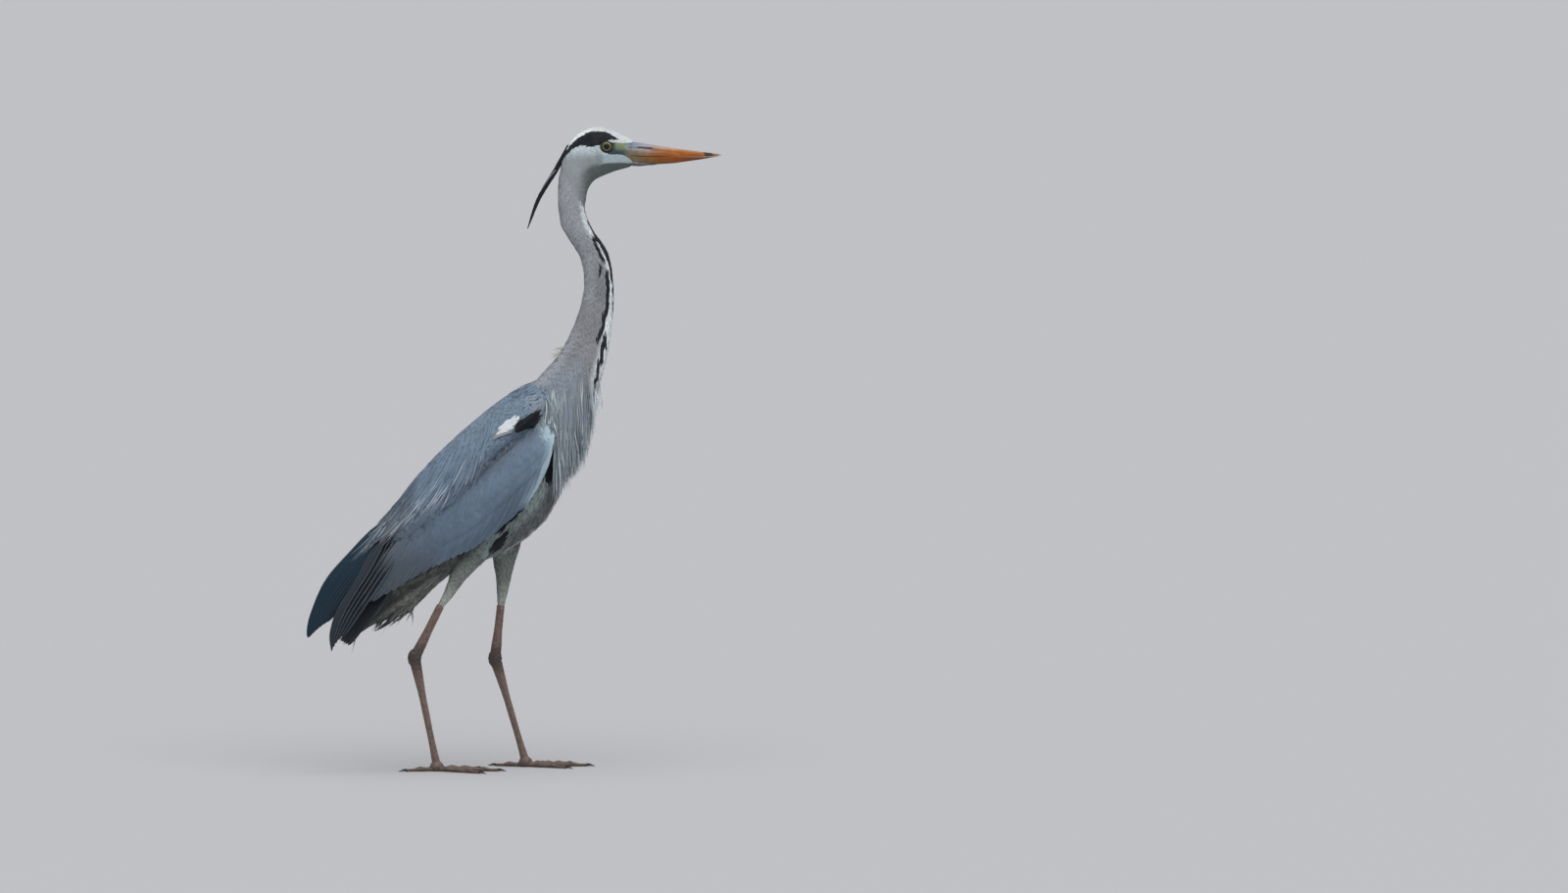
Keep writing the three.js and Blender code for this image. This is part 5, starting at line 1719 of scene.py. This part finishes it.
def make_leg(name, side):
    leg = LEGS[name]
    parts = [f"{part}_{name}" for part in ("shank", "tarsus", "foot_pad")]
    parts += [f"toe_{toe}_{name}" for toe, _, _ in TOES]
    thickened = []
    for part in parts:
        verts, faces = node_mesh(part)
        middle = verts.mean(0)
        grow = 0.35 * unit(verts - middle)
        grow[verts[:, 2] < 0.5] *= (1, 1, 0)
        thickened.append((verts + grow, faces))
    verts, quads = remeshed(thickened, LEG_VOXEL)
    verts, flat = settled(verts, quads, 16, 0.4)
    normals = vertex_normals(verts, quads)
    foot, ankle = foot_of(leg), np.array(leg["ankle"], float)
    axis = unit(ankle - foot)
    xz = verts[:, [0, 2]]
    run = (xz - foot) @ axis
    length = np.linalg.norm(ankle - foot)
    off = xz - foot - run[:, None] * axis
    ahead = np.array([axis[1], -axis[0]])
    forward = off @ ahead
    away = np.linalg.norm(np.stack([forward, verts[:, 1] - side * STANCE], 1), axis=1)
    front = forward / np.maximum(away, 1e-6)
    centre = np.array([foot[0], side * STANCE])
    toes = ease(9, 13, np.hypot(verts[:, 0] - centre[0], verts[:, 1] - centre[1])) * (verts[:, 2] < 16)
    shin = ease(6, 12, run) * ease(length + 30, length + 20, run)
    # Broad scutes down the front of the tarsus, and one above another on the toes.
    scutes = ease(0.35, 0.6, front) * shin
    place = run / 6.5 + 0.18 * np.sin(run * 0.9)
    seam = ease(0.16, 0.02, np.abs((place % 1) - 0.5) * -1 + 0.5)
    move = -0.42 * seam * scutes
    dark = seam * scutes
    for toe, turn, _ in TOES:
        angle = math.radians(turn) * side
        line = np.array([math.cos(angle), math.sin(angle)])
        out = (verts[:, :2] - centre) @ line
        aside = np.abs((verts[:, :2] - centre) @ np.array([-line[1], line[0]]))
        on = (aside < 6.0) & (out > 0)
        top = ease(0.15, 0.5, normals[:, 2]) * toes * on
        groove = ease(0.2, 0.03, 0.5 - np.abs((out / 3.5 % 1) - 0.5))
        move -= 0.30 * groove * top
        dark = np.maximum(dark, groove * top * 0.9)
        scutes = np.maximum(scutes, top)
    rest = (1 - scutes) * ease(0.6, 1.5, verts[:, 2])
    scaled = rest * (run > length - 16) + rest * (toes > 0.5) * 0.7 + rest * (run < length - 16) * 0.85
    pits, seams = cells(verts, 2.6, scaled, 0.24, 51)
    move = move + pits
    dark = np.maximum(dark, seams * 0.8)
    move[flat] = 0
    verts = verts + normals * move[:, None]
    verts[:, 2] = np.maximum(verts[:, 2], 0)
    joint = np.exp(-(((run - length) / 21) ** 2))
    colour = mix(LEG_BROWN, LEG_DARK, 0.95 * joint)
    colour = mix(colour, LEG_DARK, 0.4 * ease(12, 2, verts[:, 2]))
    colour = mix(colour, (0.24, 0.15, 0.125), ease(length + 14, length + 42, run))
    colour = colour * patchy(verts, 12, 0.16, 53)[:, None] * patchy(verts, 4, 0.08, 55)[:, None]
    colour = mix(colour, (0.022, 0.017, 0.015), dark * 0.7)
    obj = new_object(f"leg_{name}", verts, quads)
    set_tint(obj, np.clip(colour, 0, 1))
    finish_piece(obj, SCALES, parts)


def make_claws(name):
    claws = [f"claw_{toe}_{name}" for toe, _, _ in TOES]
    verts, quads = remeshed([node_mesh(c) for c in claws], CLAW_VOXEL)
    verts, _ = settled(verts, quads, 6, 0.25)
    obj = new_object(f"claws_{name}", verts, quads)
    colour = np.broadcast_to((0.035, 0.026, 0.022), verts.shape) * patchy(verts, 6, 0.25, 61)[:, None]
    set_tint(obj, colour)
    finish_piece(obj, CLAW, claws)


# ---------------------------------------------------------------- everything

mandible("horn_upper", BILL_UPPER, True)
lower_bill = mandible("horn_lower", BILL_LOWER, False)
make_head_coats()
make_neck_coats()
make_trunk_coat()
make_thigh_coats()
make_undertail_coat()
for side_name, side_sign in SIDES.items():
    make_wing(side_name, side_sign)
    make_mantle(side_name, side_sign)
    make_flight_feathers(side_name, side_sign)
    make_crest(side_name, side_sign)
make_tail()
make_breast_plumes()
EYE_GLOSS = eye_material()
for side_name, side_sign in SIDES.items():
    make_eye(side_name, side_sign, EYE_GLOSS)
    make_lids(side_name, side_sign)
    make_leg(side_name, side_sign)
    make_claws(side_name)

# ---------------------------------------------------------------- light, floor and camera


def staged(name, data):
    obj = bpy.data.objects.new(name, data)
    bpy.context.scene.collection.objects.link(obj)
    return obj


floor_mesh = bpy.data.meshes.new("floor")
floor_mesh.from_pydata([(-60, -60, 0), (60, -60, 0), (60, 60, 0), (-60, 60, 0)], [], [(0, 1, 2, 3)])
floor_paint, _, _, floor_shader = nodes_of("floor")
floor_shader.inputs["Base Color"].default_value = (0.545, 0.545, 0.564, 1)
floor_shader.inputs["Roughness"].default_value = 0.95
floor_mesh.materials.append(floor_paint)
staged("floor", floor_mesh)

world = bpy.data.worlds.new("studio")
world.use_nodes = True
world.node_tree.nodes["Background"].inputs["Color"].default_value = (0.275, 0.288, 0.31, 1)
bpy.context.scene.world = world

# One broad soft light overhead, a little towards the camera.
overhead = bpy.data.lights.new("overhead", "SUN")
overhead.energy = 2.4
overhead.angle = math.radians(85)
overhead.color = (1.0, 0.99, 0.97)
lamp = staged("overhead", overhead)
lamp.rotation_euler = (math.radians(22), math.radians(8), 0)

VIEW_RISE = math.radians(4.5)
DISTANCE = 30.0
FOCAL_LENGTH = 500
aim = Vector(metres((434.7, 0, 446)).tolist())
lens = bpy.data.cameras.new("view")
lens.lens = FOCAL_LENGTH
lens.sensor_width = 36
camera = staged("view", lens)
camera.location = aim + DISTANCE * Vector((0, -math.cos(VIEW_RISE), math.sin(VIEW_RISE)))
camera.rotation_euler = (aim - camera.location).to_track_quat("-Z", "Y").to_euler()
bpy.context.scene.camera = camera
bpy.context.scene.view_settings.view_transform = "Standard"

bpy.context.view_layer.update()
